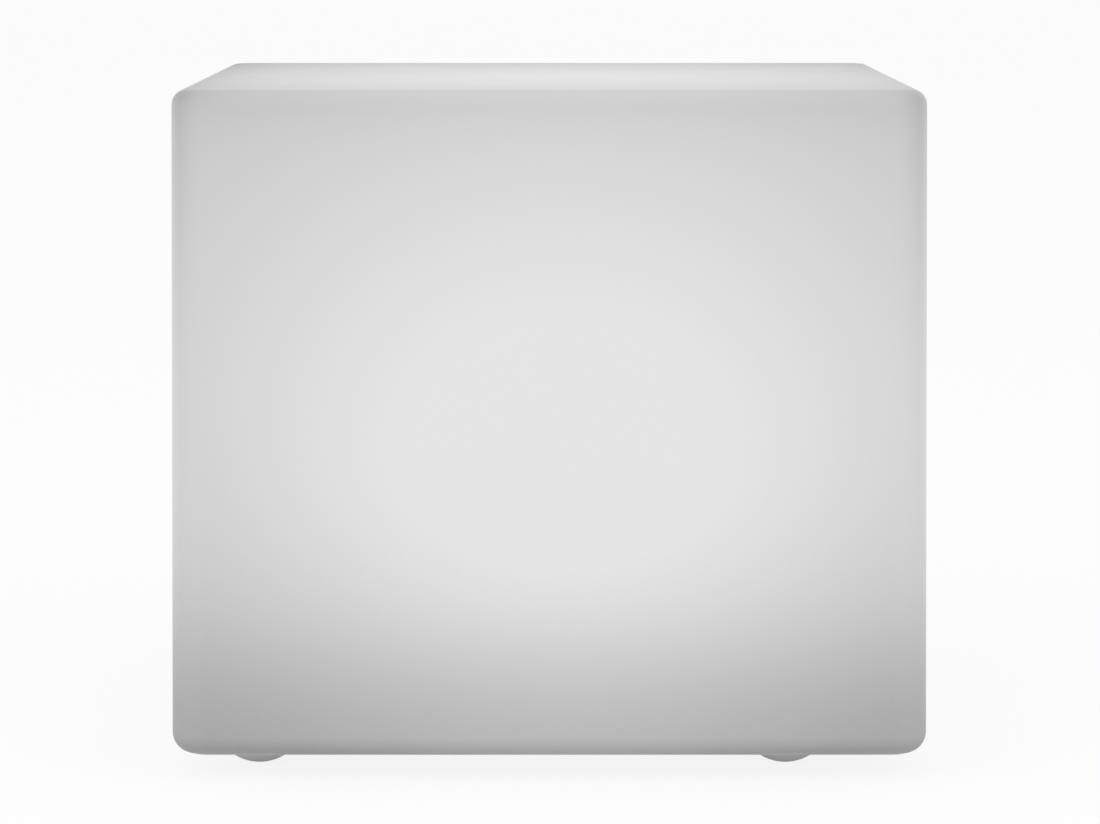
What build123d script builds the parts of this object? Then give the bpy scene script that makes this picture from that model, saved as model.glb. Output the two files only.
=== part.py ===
"""LED cube light: a rounded, translucent, hollow moulded block on four domed feet.

A sealed light module is bolted into a round recess under the block. It carries the LED board
under an opal dome, a two-cell battery, the control board, the power button and the charging
socket with its rubber cap. Millimetres, Z up, the origin on the floor under the middle of the
block, the front along -Y and the left along -X.
"""
import os
from math import asin, degrees, hypot, radians, tan

from build123d import *

os.makedirs("parts", exist_ok=True)

# Block: wider at the bottom than at the top by the draft of its mould, in degrees
base_width = 440.0
body_height = 386.0
mould_draft = 0.52
wall = 3.5
corner_radius = 22.0
top_edge_radius = 9.0
bottom_edge_radius = 12.0

# Feet, placed by their distance from the sides of the block
foot_height = 14.0
foot_radius = 25.0
foot_pad_radius = 6.5
foot_web = 6.0
foot_inset_left = 48.0
foot_inset_right = 80.0
foot_inset_front = 64.5

# Clearances
fit_gap = 0.05
slip_gap = 0.3
swing_gap = 0.4
flange_side_gap = 3.0
hole_side_gap = 0.8

# Screws, and the hexagonal brass inserts that the large ones turn into; screws, washers, bosses
# and the holes that nothing shows are drawn with flats
screw_side_count = 8
insert_side_count = 6
large_screw_radius = 1.95
large_head_radius = 3.6
large_head_height = 2.6
medium_screw_radius = 1.45
medium_head_radius = 2.7
medium_head_height = 2.0
small_screw_radius = 1.2
small_head_radius = 2.2
small_head_height = 1.6
screw_bite = 5.0
insert_radius = 3.0
insert_length = 6.0
insert_cap = 1.6
boss_wall = 2.2
washer_radius = 4.3
washer_thickness = 0.8
edge_chamfer = 1.0

# Light module: bottom cover, flange and gasket, cup and dome
cover_inset = 2.3
cover_thickness = 3.0
cover_screw_count = 4
head_sink = 1.6
spigot_thickness = 3.5
spigot_height = 4.2
seal_depth = 1.8
seal_height = 2.0
flange_thickness = 3.5
gasket_thickness = 1.2
module_screw_count = 4
cup_wall = 2.5
cup_draft = 1.0
rib_thickness = 2.0
rib_height = 12.0
recess_draft = 3.0
recess_lip = 2.0
dome_wall = 2.0
dome_flange_width = 6.4
dome_flange_thickness = 2.5
dome_seal_thickness = 1.0
dome_height = 25.0
dome_side_height = 16.0
dome_draft = 12.0
dome_slope = 50.0
dome_screw_count = 4

# LED board
led_board_thickness = 1.6
led_board_gap = 2.0
led_screw_count = 4
rgb_led_width = 5.0
rgb_led_height = 1.6
rgb_led_count = 12
white_led_length = 3.5
white_led_width = 2.8
white_led_height = 0.8
white_led_count = 8
led_ring_step = 13.0
receiver_width = 6.0
receiver_depth = 4.0
receiver_height = 5.0
receiver_lens_height = 1.0
receiver_lens_draft = 30.0

# Battery pack: two round cells side by side in a sleeve
cell_radius = 9.2
cell_length = 65.0
sleeve_thickness = 0.4
battery_pad_thickness = 1.0
battery_pad_length = 40.0
pack_shift = 4.0
bracket_width = 14.0
bracket_thickness = 1.2
bracket_ear = 9.0
bracket_boss_height = 6.0

# Control board and what is soldered on it
board_length = 84.0
board_width = 52.0
board_thickness = 1.6
board_corner_radius = 3.0
board_standoff = 10.7
board_margin = 6.0
board_side_gap = 3.3
component_room = 13.0
connector_length = 8.0
connector_width = 5.0
connector_height = 6.0
capacitor_radius = 4.0
capacitor_height = 6.5
inductor_width = 10.0
inductor_height = 4.5
inductor_corner_radius = 2.0
control_chip_width = 7.0
charge_chip_length = 5.0
charge_chip_width = 4.0
chip_height = 1.2
driver_width = 3.0
driver_pitch = 7.0
driver_count = 4

# Power button, its membrane and its switch
button_inset = 14.0
button_radius = 6.6
button_collar = 1.6
button_collar_height = 1.2
button_proud = 0.4
button_travel = 0.8
membrane_rim_width = 2.6
membrane_thickness = 0.8
membrane_ring_height = 2.0
plunger_radius = 3.0
switch_width = 6.0
switch_height = 3.5
stem_radius = 1.75
stem_proud = 1.1
stem_depth = 0.7

# Charge light
pipe_y = -16.0
pipe_radius = 1.5
pipe_head_radius = 2.4
pipe_head_height = 1.0
indicator_width = 2.0
indicator_height = 0.8

# Charging socket with its nut, pin and rubber cap
socket_inset = 11.0
socket_barrel_radius = 5.4
socket_flange_radius = 7.0
socket_flange_height = 1.8
socket_barrel_length = 12.0
socket_back = 1.5
socket_mouth_radius = 4.4
socket_mouth_depth = 2.2
socket_bore_radius = 2.8
pin_radius = 1.05
pin_tail_radius = 0.75
pin_chamfer = 0.35
pin_recess = 0.5
nut_radius = 8.0
nut_height = 2.5
terminal_width = 2.4
terminal_thickness = 0.5
terminal_length = 3.0
terminal_spacing = 5.0
cap_thickness = 1.5
cap_rim = 2.6
cap_edge_chamfer = 0.5
cap_plug_gap = 0.2
strap_width = 5.0
strap_thickness = 1.1
strap_corner_radius = 2.0
hinge_reach = 1.4
hinge_web = 1.4
strap_length = 7.0
anchor_radius = 1.9
anchor_head_radius = 2.6
anchor_head_height = 1.0

# Insulated leads, drawn with flats round them; a bend takes this share of the shorter run beside it
lead_side_count = 6
bend_share = 0.45
battery_lead_radius = 0.7
battery_lead_pitch = 4.0
led_lead_radius = 0.6
led_lead_count = 4
led_lead_pitch = 2.0
socket_lead_radius = 0.6

# Heights, upwards from the floor
body_bottom = foot_height
body_top = body_bottom + body_height
cover_bottom = body_bottom + cover_inset
cover_top = cover_bottom + cover_thickness
flange_top = cover_top + flange_thickness
recess_roof = flange_top + gasket_thickness
recess_roof_top = recess_roof + wall
board_bottom = cover_top + board_standoff
board_top = board_bottom + board_thickness
pack_bottom = board_top + component_room
pack_middle = pack_bottom + sleeve_thickness + cell_radius
pack_top = pack_middle + cell_radius + sleeve_thickness
cup_ceiling = pack_top + battery_pad_thickness
cup_top = cup_ceiling + cup_wall
led_board_top = cup_top + led_board_thickness

# Radii of the module, outwards from what the cup holds
spigot_inner_radius = hypot(board_length, board_width) / 2 + board_side_gap
spigot_radius = spigot_inner_radius + spigot_thickness
cup_inner_radius = spigot_radius + slip_gap
cup_radius = cup_inner_radius + cup_wall
cup_narrowing = (cup_top - cover_top) * tan(radians(cup_draft))
cup_top_radius = cup_radius - cup_narrowing
insert_bore_radius = large_screw_radius + fit_gap
large_hole_radius = large_screw_radius + slip_gap
medium_hole_radius = medium_screw_radius + slip_gap
cover_boss_radius = medium_screw_radius + boss_wall
cover_screw_circle = cup_radius + medium_head_radius
cover_radius = cover_screw_circle + medium_head_radius + cup_wall
recess_hole_radius = cover_screw_circle + cover_boss_radius + hole_side_gap
module_screw_circle = cover_radius + washer_radius + hole_side_gap
flange_radius = module_screw_circle + washer_radius + hole_side_gap
recess_radius = flange_radius + flange_side_gap
dome_outer_radius = cup_top_radius - dome_flange_width
dome_inner_radius = dome_outer_radius - dome_wall
dome_screw_circle = dome_outer_radius + dome_flange_width / 2
led_board_radius = dome_inner_radius - led_board_gap
led_screw_circle = led_board_radius - medium_head_radius - led_board_gap
rgb_ring_radius = led_screw_circle - medium_head_radius - rgb_led_width
white_ring_radius = rgb_ring_radius - led_ring_step

# Places that several pieces share
foot_left = foot_inset_left - base_width / 2
foot_right = base_width / 2 - foot_inset_right
foot_back = base_width / 2 - foot_inset_front
foot_places = [
    (foot_left, -foot_back),
    (foot_right, -foot_back),
    (foot_left, foot_back),
    (foot_right, foot_back),
]
feet_at = Locations(*foot_places)
button_x = button_inset - board_length / 2
socket_x = board_length / 2 - socket_inset
board_screw_x = board_length / 2 - board_margin
board_screw_y = board_width / 2 - board_margin
notch_half_width = nut_radius + slip_gap + fit_gap
hinge_x = socket_x + socket_mouth_radius + cap_rim + hinge_reach
anchor_x = hinge_x + hinge_web + strap_length - anchor_head_radius
connector_x = connector_width / 2 + slip_gap - board_length / 2
connector_y = connector_length / 2 + led_lead_pitch
led_hole_x = connector_x - led_lead_pitch
led_hole_y = connector_y + led_lead_pitch
led_slot_length = (led_lead_count + 1) * led_lead_pitch
led_slot_width = 2 * led_lead_pitch


def screw_group(places, seat, way, head_radius, head_height, shank_radius, length):
    """Screws whose heads seat on the plane at height seat, with shanks running way (1 up, -1 down)."""
    with BuildPart() as group:
        with BuildSketch(Plane.XY.offset(seat)):
            with places:
                RegularPolygon(head_radius, screw_side_count)
        extrude(amount=-way * head_height)
        with BuildSketch(Plane.XY.offset(seat)):
            with places:
                RegularPolygon(shank_radius, screw_side_count)
        extrude(amount=way * length)
    return group.part


def lead(points, radius):
    """An insulated lead: straight runs joined by the largest arcs that they leave room for."""
    corners = [Vector(*point) for point in points]
    runs = [after - before for before, after in zip(corners, corners[1:])]
    radii = []
    for before, after in zip(runs, runs[1:]):
        half_turn = radians(before.get_angle(after)) / 2
        radii.append(bend_share * min(before.length, after.length) / tan(half_turn))
    print("lead radii:", [round(value, 1) for value in radii])
    with BuildPart() as wire:
        with BuildLine():
            FilletPolyline(*corners, radius=radii)
        with BuildSketch(Plane(origin=corners[0], z_dir=runs[0])):
            RegularPolygon(radius, lead_side_count)
        sweep()
    return wire.part


# Hollow of the block: the chamber that the light fills
with BuildPart() as light_chamber:
    with BuildSketch(Plane.XY.offset(body_bottom + wall)):
        RectangleRounded(base_width - 2 * wall, base_width - 2 * wall, corner_radius - wall)
    extrude(amount=body_height - 2 * wall, taper=mould_draft)
    fillet(light_chamber.faces().sort_by(Axis.Z)[-1].edges(), top_edge_radius - wall)
    fillet(light_chamber.faces().sort_by(Axis.Z)[0].edges(), bottom_edge_radius - wall)

# Shell: the moulded block, with the recess for the module and the bosses for its inserts
module_screws_from = 180 / module_screw_count
module_screws_at = PolarLocations(module_screw_circle, module_screw_count, module_screws_from)
with BuildPart() as shell:
    with BuildSketch(Plane.XY.offset(body_bottom)):
        RectangleRounded(base_width, base_width, corner_radius)
    extrude(amount=body_height, taper=mould_draft)
    fillet(shell.faces().sort_by(Axis.Z)[-1].edges(), top_edge_radius)
    fillet(shell.faces().sort_by(Axis.Z)[0].edges(), bottom_edge_radius)
    add(light_chamber.part, mode=Mode.SUBTRACT)
    # the tub that stands up into the chamber, with drafted sides
    with BuildSketch(Plane.XY.offset(recess_roof_top)):
        Circle(recess_radius + wall)
    extrude(amount=body_bottom + wall / 2 - recess_roof_top, taper=-recess_draft)
    with BuildSketch(Plane.XY.offset(recess_roof)):
        Circle(recess_radius)
    extrude(amount=body_bottom - recess_roof, taper=-recess_draft, mode=Mode.SUBTRACT)
    recess_mouth = shell.faces().sort_by(Axis.Z)[0].inner_wires()[0].edges()
    chamfer(recess_mouth, recess_lip)
    # bosses round the brass inserts
    with BuildSketch(Plane.XY.offset(recess_roof)):
        with module_screws_at:
            RegularPolygon(insert_radius + boss_wall, screw_side_count)
    extrude(amount=insert_length + insert_cap)
    with BuildSketch(Plane.XY.offset(body_bottom)):
        with feet_at:
            RegularPolygon(insert_radius + boss_wall, screw_side_count)
    extrude(amount=insert_length + insert_cap)
    with BuildSketch(Plane.XY.offset(recess_roof)):
        with module_screws_at:
            RegularPolygon(insert_radius + fit_gap, insert_side_count)
    extrude(amount=insert_length + fit_gap, mode=Mode.SUBTRACT)
    with BuildSketch(Plane.XY.offset(body_bottom)):
        with feet_at:
            RegularPolygon(insert_radius + fit_gap, insert_side_count)
    extrude(amount=insert_length + fit_gap, mode=Mode.SUBTRACT)
    # the opening that the cup passes through
    with BuildSketch(Plane.XY.offset(recess_roof)):
        Circle(recess_hole_radius)
    extrude(amount=wall, mode=Mode.SUBTRACT)
shell.part.label = "shell"
export_step(shell.part, "parts/shell.step")

# Feet: soft domes, cut flat where they stand, each with a stepped hole for its screw
dome_centre = (foot_radius**2 - foot_pad_radius**2 - foot_height**2) / (2 * foot_height)
foot_dome_radius = hypot(foot_radius, dome_centre)
pad_angle = degrees(asin(foot_pad_radius / foot_dome_radius))
rim_angle = degrees(asin(foot_radius / foot_dome_radius))
foot_screw_seat = foot_height - foot_web
with BuildPart() as feet:
    for foot_x, foot_y in foot_places:
        with BuildSketch(Plane(origin=(foot_x, foot_y, 0), x_dir=(1, 0, 0), z_dir=(0, -1, 0))):
            with BuildLine():
                dome_line = CenterArc(
                    (0, foot_height + dome_centre),
                    foot_dome_radius,
                    pad_angle - 90,
                    rim_angle - pad_angle,
                )
                Polyline(dome_line @ 1, (0, foot_height), (0, 0), dome_line @ 0)
            make_face()
        revolve(axis=Axis((foot_x, foot_y, 0), (0, 0, 1)))
    with BuildSketch(Plane.XY):
        with feet_at:
            RegularPolygon(large_head_radius + slip_gap, screw_side_count)
    extrude(amount=foot_screw_seat, mode=Mode.SUBTRACT)
    with BuildSketch(Plane.XY):
        with feet_at:
            RegularPolygon(large_hole_radius, screw_side_count)
    extrude(amount=foot_height, mode=Mode.SUBTRACT)
feet.part.label = "feet"
export_step(feet.part, "parts/feet.step")

foot_screws = screw_group(
    feet_at,
    foot_screw_seat,
    1,
    large_head_radius,
    large_head_height,
    large_screw_radius,
    foot_web + screw_bite,
)
foot_screws.label = "foot_screws"
export_step(foot_screws, "parts/foot_screws.step")

# Brass inserts, moulded into the bosses of the shell
with BuildPart() as foot_inserts:
    with BuildSketch(Plane.XY.offset(body_bottom)):
        with feet_at:
            RegularPolygon(insert_radius, insert_side_count)
            RegularPolygon(insert_bore_radius, screw_side_count, mode=Mode.SUBTRACT)
    extrude(amount=insert_length)
foot_inserts.part.label = "foot_inserts"
export_step(foot_inserts.part, "parts/foot_inserts.step")

with BuildPart() as module_inserts:
    with BuildSketch(Plane.XY.offset(recess_roof)):
        with module_screws_at:
            RegularPolygon(insert_radius, insert_side_count)
            RegularPolygon(insert_bore_radius, screw_side_count, mode=Mode.SUBTRACT)
    extrude(amount=insert_length)
module_inserts.part.label = "module_inserts"
export_step(module_inserts.part, "parts/module_inserts.step")

# Gasket: a flat ring between the flange of the module and the roof of the recess
with BuildPart() as module_gasket:
    with BuildSketch(Plane.XY.offset(flange_top)):
        Circle(flange_radius - hole_side_gap)
        Circle(recess_hole_radius, mode=Mode.SUBTRACT)
        with module_screws_at:
            RegularPolygon(large_hole_radius, screw_side_count, mode=Mode.SUBTRACT)
    extrude(amount=gasket_thickness)
module_gasket.part.label = "module_gasket"
export_step(module_gasket.part, "parts/module_gasket.step")

# Module housing: a drafted cup that stands in the chamber, on a flange stiffened by ribs
cover_screws_at = PolarLocations(cover_screw_circle, cover_screw_count)
dome_screws_at = PolarLocations(dome_screw_circle, dome_screw_count)
led_screws_at = PolarLocations(led_screw_circle, led_screw_count, 180 / led_screw_count)
bracket_side = 2 * cell_radius + fit_gap + sleeve_thickness + slip_gap
bracket_ear_y = bracket_side + bracket_thickness + bracket_ear / 2
bracket_screws_at = Locations((pack_shift, -bracket_ear_y), (pack_shift, bracket_ear_y))
bracket_seat = cup_ceiling - bracket_boss_height
pilot_radius = medium_screw_radius + fit_gap
rib_length = recess_hole_radius - cup_radius
with BuildPart() as module_housing:
    with BuildSketch(Plane.XY.offset(cover_top)):
        Circle(flange_radius)
    extrude(amount=flange_thickness)
    chamfer(module_housing.edges().sort_by(Axis.Z)[-1], edge_chamfer)
    with BuildSketch(Plane.XY.offset(cover_top)):
        Circle(cup_radius)
    extrude(amount=cup_top - cover_top, taper=cup_draft)
    # bosses for the screws of the bottom cover, with a rib outside each and two between them
    with BuildSketch(Plane.XY.offset(cover_top)):
        with cover_screws_at:
            RegularPolygon(cover_boss_radius, screw_side_count)
    extrude(amount=rib_height)
    with BuildSketch(Plane.XY.offset(cover_top)):
        with PolarLocations(0, 3 * cover_screw_count):
            with Locations((cup_radius - cup_wall / 2, 0)):
                Rectangle(rib_length, rib_thickness, align=(Align.MIN, Align.CENTER))
    extrude(amount=rib_height)
    with BuildSketch(Plane.XY.offset(cover_top)):
        Circle(cup_inner_radius)
    extrude(amount=cup_ceiling - cover_top, taper=cup_draft, mode=Mode.SUBTRACT)
    # bosses under the ceiling for the dome, the LED board and the battery bracket
    with BuildSketch(Plane.XY.offset(cup_ceiling)):
        with dome_screws_at:
            RegularPolygon(cover_boss_radius, screw_side_count)
        with led_screws_at:
            RegularPolygon(cover_boss_radius, screw_side_count)
        with bracket_screws_at:
            RegularPolygon(cover_boss_radius, screw_side_count)
        Circle(cup_inner_radius - cup_narrowing, mode=Mode.INTERSECT)
    extrude(amount=-bracket_boss_height)
    with BuildSketch(Plane.XY.offset(cup_top)):
        with dome_screws_at:
            RegularPolygon(pilot_radius, screw_side_count)
        with led_screws_at:
            RegularPolygon(pilot_radius, screw_side_count)
    extrude(amount=-screw_bite - slip_gap, mode=Mode.SUBTRACT)
    with BuildSketch(Plane.XY.offset(bracket_seat)):
        with bracket_screws_at:
            RegularPolygon(pilot_radius, screw_side_count)
    extrude(amount=screw_bite + slip_gap, mode=Mode.SUBTRACT)
    with BuildSketch(Plane.XY.offset(cover_top)):
        with cover_screws_at:
            RegularPolygon(pilot_radius, screw_side_count)
        with module_screws_at:
            RegularPolygon(large_hole_radius, screw_side_count)
    extrude(amount=rib_height - cup_wall, mode=Mode.SUBTRACT)
    # the hole that the leads of the LED board come up through
    with BuildSketch(Plane.XY.offset(cup_ceiling)):
        with Locations((led_hole_x, led_hole_y)):
            SlotOverall(led_slot_length, led_slot_width, rotation=90)
    extrude(amount=cup_wall, mode=Mode.SUBTRACT)
module_housing.part.label = "module_housing"
export_step(module_housing.part, "parts/module_housing.step")

# Screws and washers that pull the module up against its gasket
with BuildPart() as screw_washers:
    with BuildSketch(Plane.XY.offset(cover_top)):
        with module_screws_at:
            RegularPolygon(washer_radius, screw_side_count)
            RegularPolygon(insert_bore_radius, screw_side_count, mode=Mode.SUBTRACT)
    extrude(amount=-washer_thickness)
screw_washers.part.label = "screw_washers"
export_step(screw_washers.part, "parts/screw_washers.step")

module_screws = screw_group(
    module_screws_at,
    cover_top - washer_thickness,
    1,
    large_head_radius,
    large_head_height,
    large_screw_radius,
    washer_thickness + flange_thickness + gasket_thickness + screw_bite,
)
module_screws.label = "module_screws"
export_step(module_screws, "parts/module_screws.step")

# Bottom cover: a plate with a spigot for its seal, standoffs, and seats for button and socket
board_screws_at = GridLocations(2 * board_screw_x, 2 * board_screw_y, 2, 2)
membrane_radius = button_radius + button_collar + slip_gap + membrane_rim_width
rim_inner_radius = membrane_radius - membrane_rim_width
membrane_bottom = cover_top + 2 * slip_gap + button_collar_height
seal_bottom = cover_top + (spigot_height - seal_height) / 2
standoff_radius = small_screw_radius + boss_wall
with BuildPart() as bottom_cover:
    with BuildSketch(Plane.XY.offset(cover_bottom)):
        Circle(cover_radius)
    extrude(amount=cover_thickness)
    chamfer(bottom_cover.edges().sort_by(Axis.Z)[0], edge_chamfer)
    with BuildSketch(Plane.XY.offset(cover_top)):
        Circle(spigot_radius)
        Circle(spigot_inner_radius, mode=Mode.SUBTRACT)
    extrude(amount=spigot_height)
    with BuildSketch(Plane.XY.offset(seal_bottom)):
        Circle(spigot_radius)
        Circle(spigot_radius - seal_depth, mode=Mode.SUBTRACT)
    extrude(amount=seal_height, mode=Mode.SUBTRACT)
    with BuildSketch(Plane.XY.offset(cover_top)):
        with board_screws_at:
            RegularPolygon(standoff_radius, screw_side_count)
    extrude(amount=board_standoff)
    with BuildSketch(Plane.XY.offset(board_bottom)):
        with board_screws_at:
            RegularPolygon(small_screw_radius + fit_gap, screw_side_count)
    extrude(amount=-screw_bite - slip_gap, mode=Mode.SUBTRACT)
    with BuildSketch(Plane.XY.offset(cover_top)):
        with Locations((button_x, 0)):
            Circle(membrane_radius)
            Circle(rim_inner_radius, mode=Mode.SUBTRACT)
    extrude(amount=membrane_bottom - cover_top)
    with BuildSketch(Plane.XY.offset(cover_bottom)):
        with Locations((button_x, 0)):
            Circle(button_radius + swing_gap)
        with Locations((socket_x, 0)):
            Circle(socket_barrel_radius + fit_gap)
        with Locations((0, pipe_y)):
            Circle(pipe_radius + fit_gap)
        with Locations((anchor_x, 0)):
            Circle(anchor_radius + fit_gap)
        with cover_screws_at:
            Circle(medium_hole_radius)
    extrude(amount=cover_thickness, mode=Mode.SUBTRACT)
    with BuildSketch(Plane.XY.offset(cover_bottom)):
        with Locations((socket_x, 0)):
            Circle(socket_flange_radius + fit_gap)
    extrude(amount=socket_flange_height, mode=Mode.SUBTRACT)
    with BuildSketch(Plane.XY.offset(cover_bottom)):
        with Locations((0, pipe_y)):
            Circle(pipe_head_radius + fit_gap)
    extrude(amount=pipe_head_height, mode=Mode.SUBTRACT)
    with BuildSketch(Plane.XY.offset(cover_bottom)):
        with cover_screws_at:
            Circle(medium_head_radius + slip_gap)
    extrude(amount=head_sink, mode=Mode.SUBTRACT)
bottom_cover.part.label = "bottom_cover"
export_step(bottom_cover.part, "parts/bottom_cover.step")

with BuildPart() as cover_seal:
    with BuildSketch(Plane.XY.offset(seal_bottom)):
        Circle(cup_inner_radius - 2 * fit_gap)
        Circle(spigot_radius - seal_depth + fit_gap, mode=Mode.SUBTRACT)
    extrude(amount=seal_height)
cover_seal.part.label = "cover_seal"
export_step(cover_seal.part, "parts/cover_seal.step")

cover_screws = screw_group(
    cover_screws_at,
    cover_bottom + head_sink,
    1,
    medium_head_radius,
    medium_head_height,
    medium_screw_radius,
    cover_thickness - head_sink + screw_bite,
)
cover_screws.label = "cover_screws"
export_step(cover_screws, "parts/cover_screws.step")

# LED board: a round aluminium board on the cup, with a ring of colour LEDs and one of white
with BuildPart() as led_board:
    with BuildSketch(Plane.XY.offset(cup_top)):
        Circle(led_board_radius)
        with led_screws_at:
            RegularPolygon(medium_hole_radius, screw_side_count, mode=Mode.SUBTRACT)
        with Locations((led_hole_x, led_hole_y)):
            SlotOverall(led_slot_length, led_slot_width, rotation=90, mode=Mode.SUBTRACT)
    extrude(amount=led_board_thickness)
led_board.part.label = "led_board"
export_step(led_board.part, "parts/led_board.step")

with BuildPart() as rgb_leds:
    with BuildSketch(Plane.XY.offset(led_board_top)):
        with PolarLocations(rgb_ring_radius, rgb_led_count, 180 / rgb_led_count):
            Rectangle(rgb_led_width, rgb_led_width)
    extrude(amount=rgb_led_height)
rgb_leds.part.label = "rgb_leds"
export_step(rgb_leds.part, "parts/rgb_leds.step")

with BuildPart() as white_leds:
    with BuildSketch(Plane.XY.offset(led_board_top)):
        with PolarLocations(white_ring_radius, white_led_count):
            Rectangle(white_led_length, white_led_width)
    extrude(amount=white_led_height)
white_leds.part.label = "white_leds"
export_step(white_leds.part, "parts/white_leds.step")

# Infrared receiver: a small block with a bulging lens, in the middle of the board
with BuildPart() as ir_receiver:
    with BuildSketch(Plane.XY.offset(led_board_top)):
        Rectangle(receiver_width, receiver_depth)
    extrude(amount=receiver_height)
    with BuildSketch(Plane.XY.offset(led_board_top + receiver_height)):
        Circle(receiver_depth / 2 - slip_gap)
    extrude(amount=receiver_lens_height, taper=receiver_lens_draft)
ir_receiver.part.label = "ir_receiver"
export_step(ir_receiver.part, "parts/ir_receiver.step")

led_board_screws = screw_group(
    led_screws_at,
    led_board_top,
    -1,
    medium_head_radius,
    medium_head_height,
    medium_screw_radius,
    led_board_thickness + screw_bite,
)
led_board_screws.label = "led_board_screws"
export_step(led_board_screws, "parts/led_board_screws.step")

# Diffuser dome: an opal cap over the LED board, on a ring seal, held by its flange
dome_bottom = cup_top + dome_seal_thickness
with BuildPart() as dome_seal:
    with BuildSketch(Plane.XY.offset(cup_top)):
        Circle(cup_top_radius - hole_side_gap)
        Circle(dome_inner_radius, mode=Mode.SUBTRACT)
        with dome_screws_at:
            RegularPolygon(medium_hole_radius, screw_side_count, mode=Mode.SUBTRACT)
    extrude(amount=dome_seal_thickness)
dome_seal.part.label = "dome_seal"
export_step(dome_seal.part, "parts/dome_seal.step")

dome_flange_top = dome_bottom + dome_flange_thickness
dome_shoulder_radius = dome_outer_radius - dome_side_height * tan(radians(dome_draft))
with BuildPart() as diffuser_dome:
    with BuildSketch(Plane.XY.offset(dome_bottom)):
        Circle(dome_outer_radius)
    extrude(amount=dome_side_height, taper=dome_draft)
    with BuildSketch(Plane.XY.offset(dome_bottom + dome_side_height)):
        Circle(dome_shoulder_radius)
    extrude(amount=dome_height - dome_side_height, taper=dome_slope)
    offset(amount=-dome_wall, openings=diffuser_dome.faces().sort_by(Axis.Z)[0])
    with BuildSketch(Plane.XY.offset(dome_bottom)):
        Circle(dome_outer_radius + dome_flange_width - hole_side_gap)
        Circle(dome_outer_radius - dome_wall / 2, mode=Mode.SUBTRACT)
        with dome_screws_at:
            RegularPolygon(medium_hole_radius, screw_side_count, mode=Mode.SUBTRACT)
    extrude(amount=dome_flange_thickness)
diffuser_dome.part.label = "diffuser_dome"
export_step(diffuser_dome.part, "parts/diffuser_dome.step")

dome_screws = screw_group(
    dome_screws_at,
    dome_flange_top,
    -1,
    medium_head_radius,
    medium_head_height,
    medium_screw_radius,
    dome_flange_thickness + dome_seal_thickness + screw_bite,
)
dome_screws.label = "dome_screws"
export_step(dome_screws, "parts/dome_screws.step")

# Battery pack: two cells in a shrunk sleeve, a foam pad above and a strap bracket below
cell_offset = cell_radius + fit_gap / 2
pack_plane = Plane.YZ.offset(pack_shift)
with BuildPart() as battery_cells:
    with BuildSketch(pack_plane):
        with Locations((-cell_offset, pack_middle), (cell_offset, pack_middle)):
            Circle(cell_radius)
    extrude(amount=cell_length / 2, both=True)
battery_cells.part.label = "battery_cells"
export_step(battery_cells.part, "parts/battery_cells.step")

pack_width = 2 * (cell_offset + cell_radius + sleeve_thickness)
with BuildPart() as battery_sleeve:
    with BuildSketch(pack_plane):
        with Locations((0, pack_middle)):
            SlotOverall(pack_width, 2 * (cell_radius + sleeve_thickness))
            SlotOverall(
                pack_width - 2 * sleeve_thickness + 2 * fit_gap,
                2 * (cell_radius + fit_gap),
                mode=Mode.SUBTRACT,
            )
    extrude(amount=cell_length / 2 + sleeve_thickness, both=True)
battery_sleeve.part.label = "battery_sleeve"
export_step(battery_sleeve.part, "parts/battery_sleeve.step")

with BuildPart() as battery_pad:
    with BuildSketch(Plane.XY.offset(pack_top)):
        with Locations((pack_shift, 0)):
            Rectangle(battery_pad_length, 2 * cell_radius)
    extrude(amount=battery_pad_thickness)
battery_pad.part.label = "battery_pad"
export_step(battery_pad.part, "parts/battery_pad.step")

bracket_floor = pack_bottom - fit_gap
with BuildPart() as battery_bracket:
    with BuildSketch(pack_plane):
        with BuildLine():
            Polyline(
                (0, bracket_floor),
                (bracket_side, bracket_floor),
                (bracket_side, bracket_seat),
                (bracket_side + bracket_thickness + bracket_ear, bracket_seat),
                (bracket_side + bracket_thickness + bracket_ear, bracket_seat - bracket_thickness),
                (bracket_side + bracket_thickness, bracket_seat - bracket_thickness),
                (bracket_side + bracket_thickness, bracket_floor - bracket_thickness),
                (0, bracket_floor - bracket_thickness),
            )
            mirror(about=Plane.YZ)
        make_face()
    extrude(amount=bracket_width / 2, both=True)
    with BuildSketch(Plane.XY.offset(bracket_seat)):
        with bracket_screws_at:
            RegularPolygon(medium_hole_radius, screw_side_count)
    extrude(amount=-bracket_thickness, mode=Mode.SUBTRACT)
battery_bracket.part.label = "battery_bracket"
export_step(battery_bracket.part, "parts/battery_bracket.step")

bracket_screws = screw_group(
    bracket_screws_at,
    bracket_seat - bracket_thickness,
    1,
    medium_head_radius,
    medium_head_height,
    medium_screw_radius,
    bracket_thickness + screw_bite,
)
bracket_screws.label = "bracket_screws"
export_step(bracket_screws, "parts/bracket_screws.step")

# Control board, on the standoffs of the cover, notched round the charging socket
with BuildPart() as control_board:
    with BuildSketch(Plane.XY.offset(board_bottom)):
        RectangleRounded(board_length, board_width, board_corner_radius)
        with Locations((socket_x - notch_half_width, 0)):
            Rectangle(
                board_length,
                2 * notch_half_width,
                align=(Align.MIN, Align.CENTER),
                mode=Mode.SUBTRACT,
            )
        with board_screws_at:
            RegularPolygon(small_screw_radius + slip_gap, screw_side_count, mode=Mode.SUBTRACT)
    extrude(amount=board_thickness)
control_board.part.label = "control_board"
export_step(control_board.part, "parts/control_board.step")

control_board_screws = screw_group(
    board_screws_at,
    board_top,
    -1,
    small_head_radius,
    small_head_height,
    small_screw_radius,
    board_thickness + screw_bite,
)
control_board_screws.label = "control_board_screws"
export_step(control_board_screws, "parts/control_board_screws.step")

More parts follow.
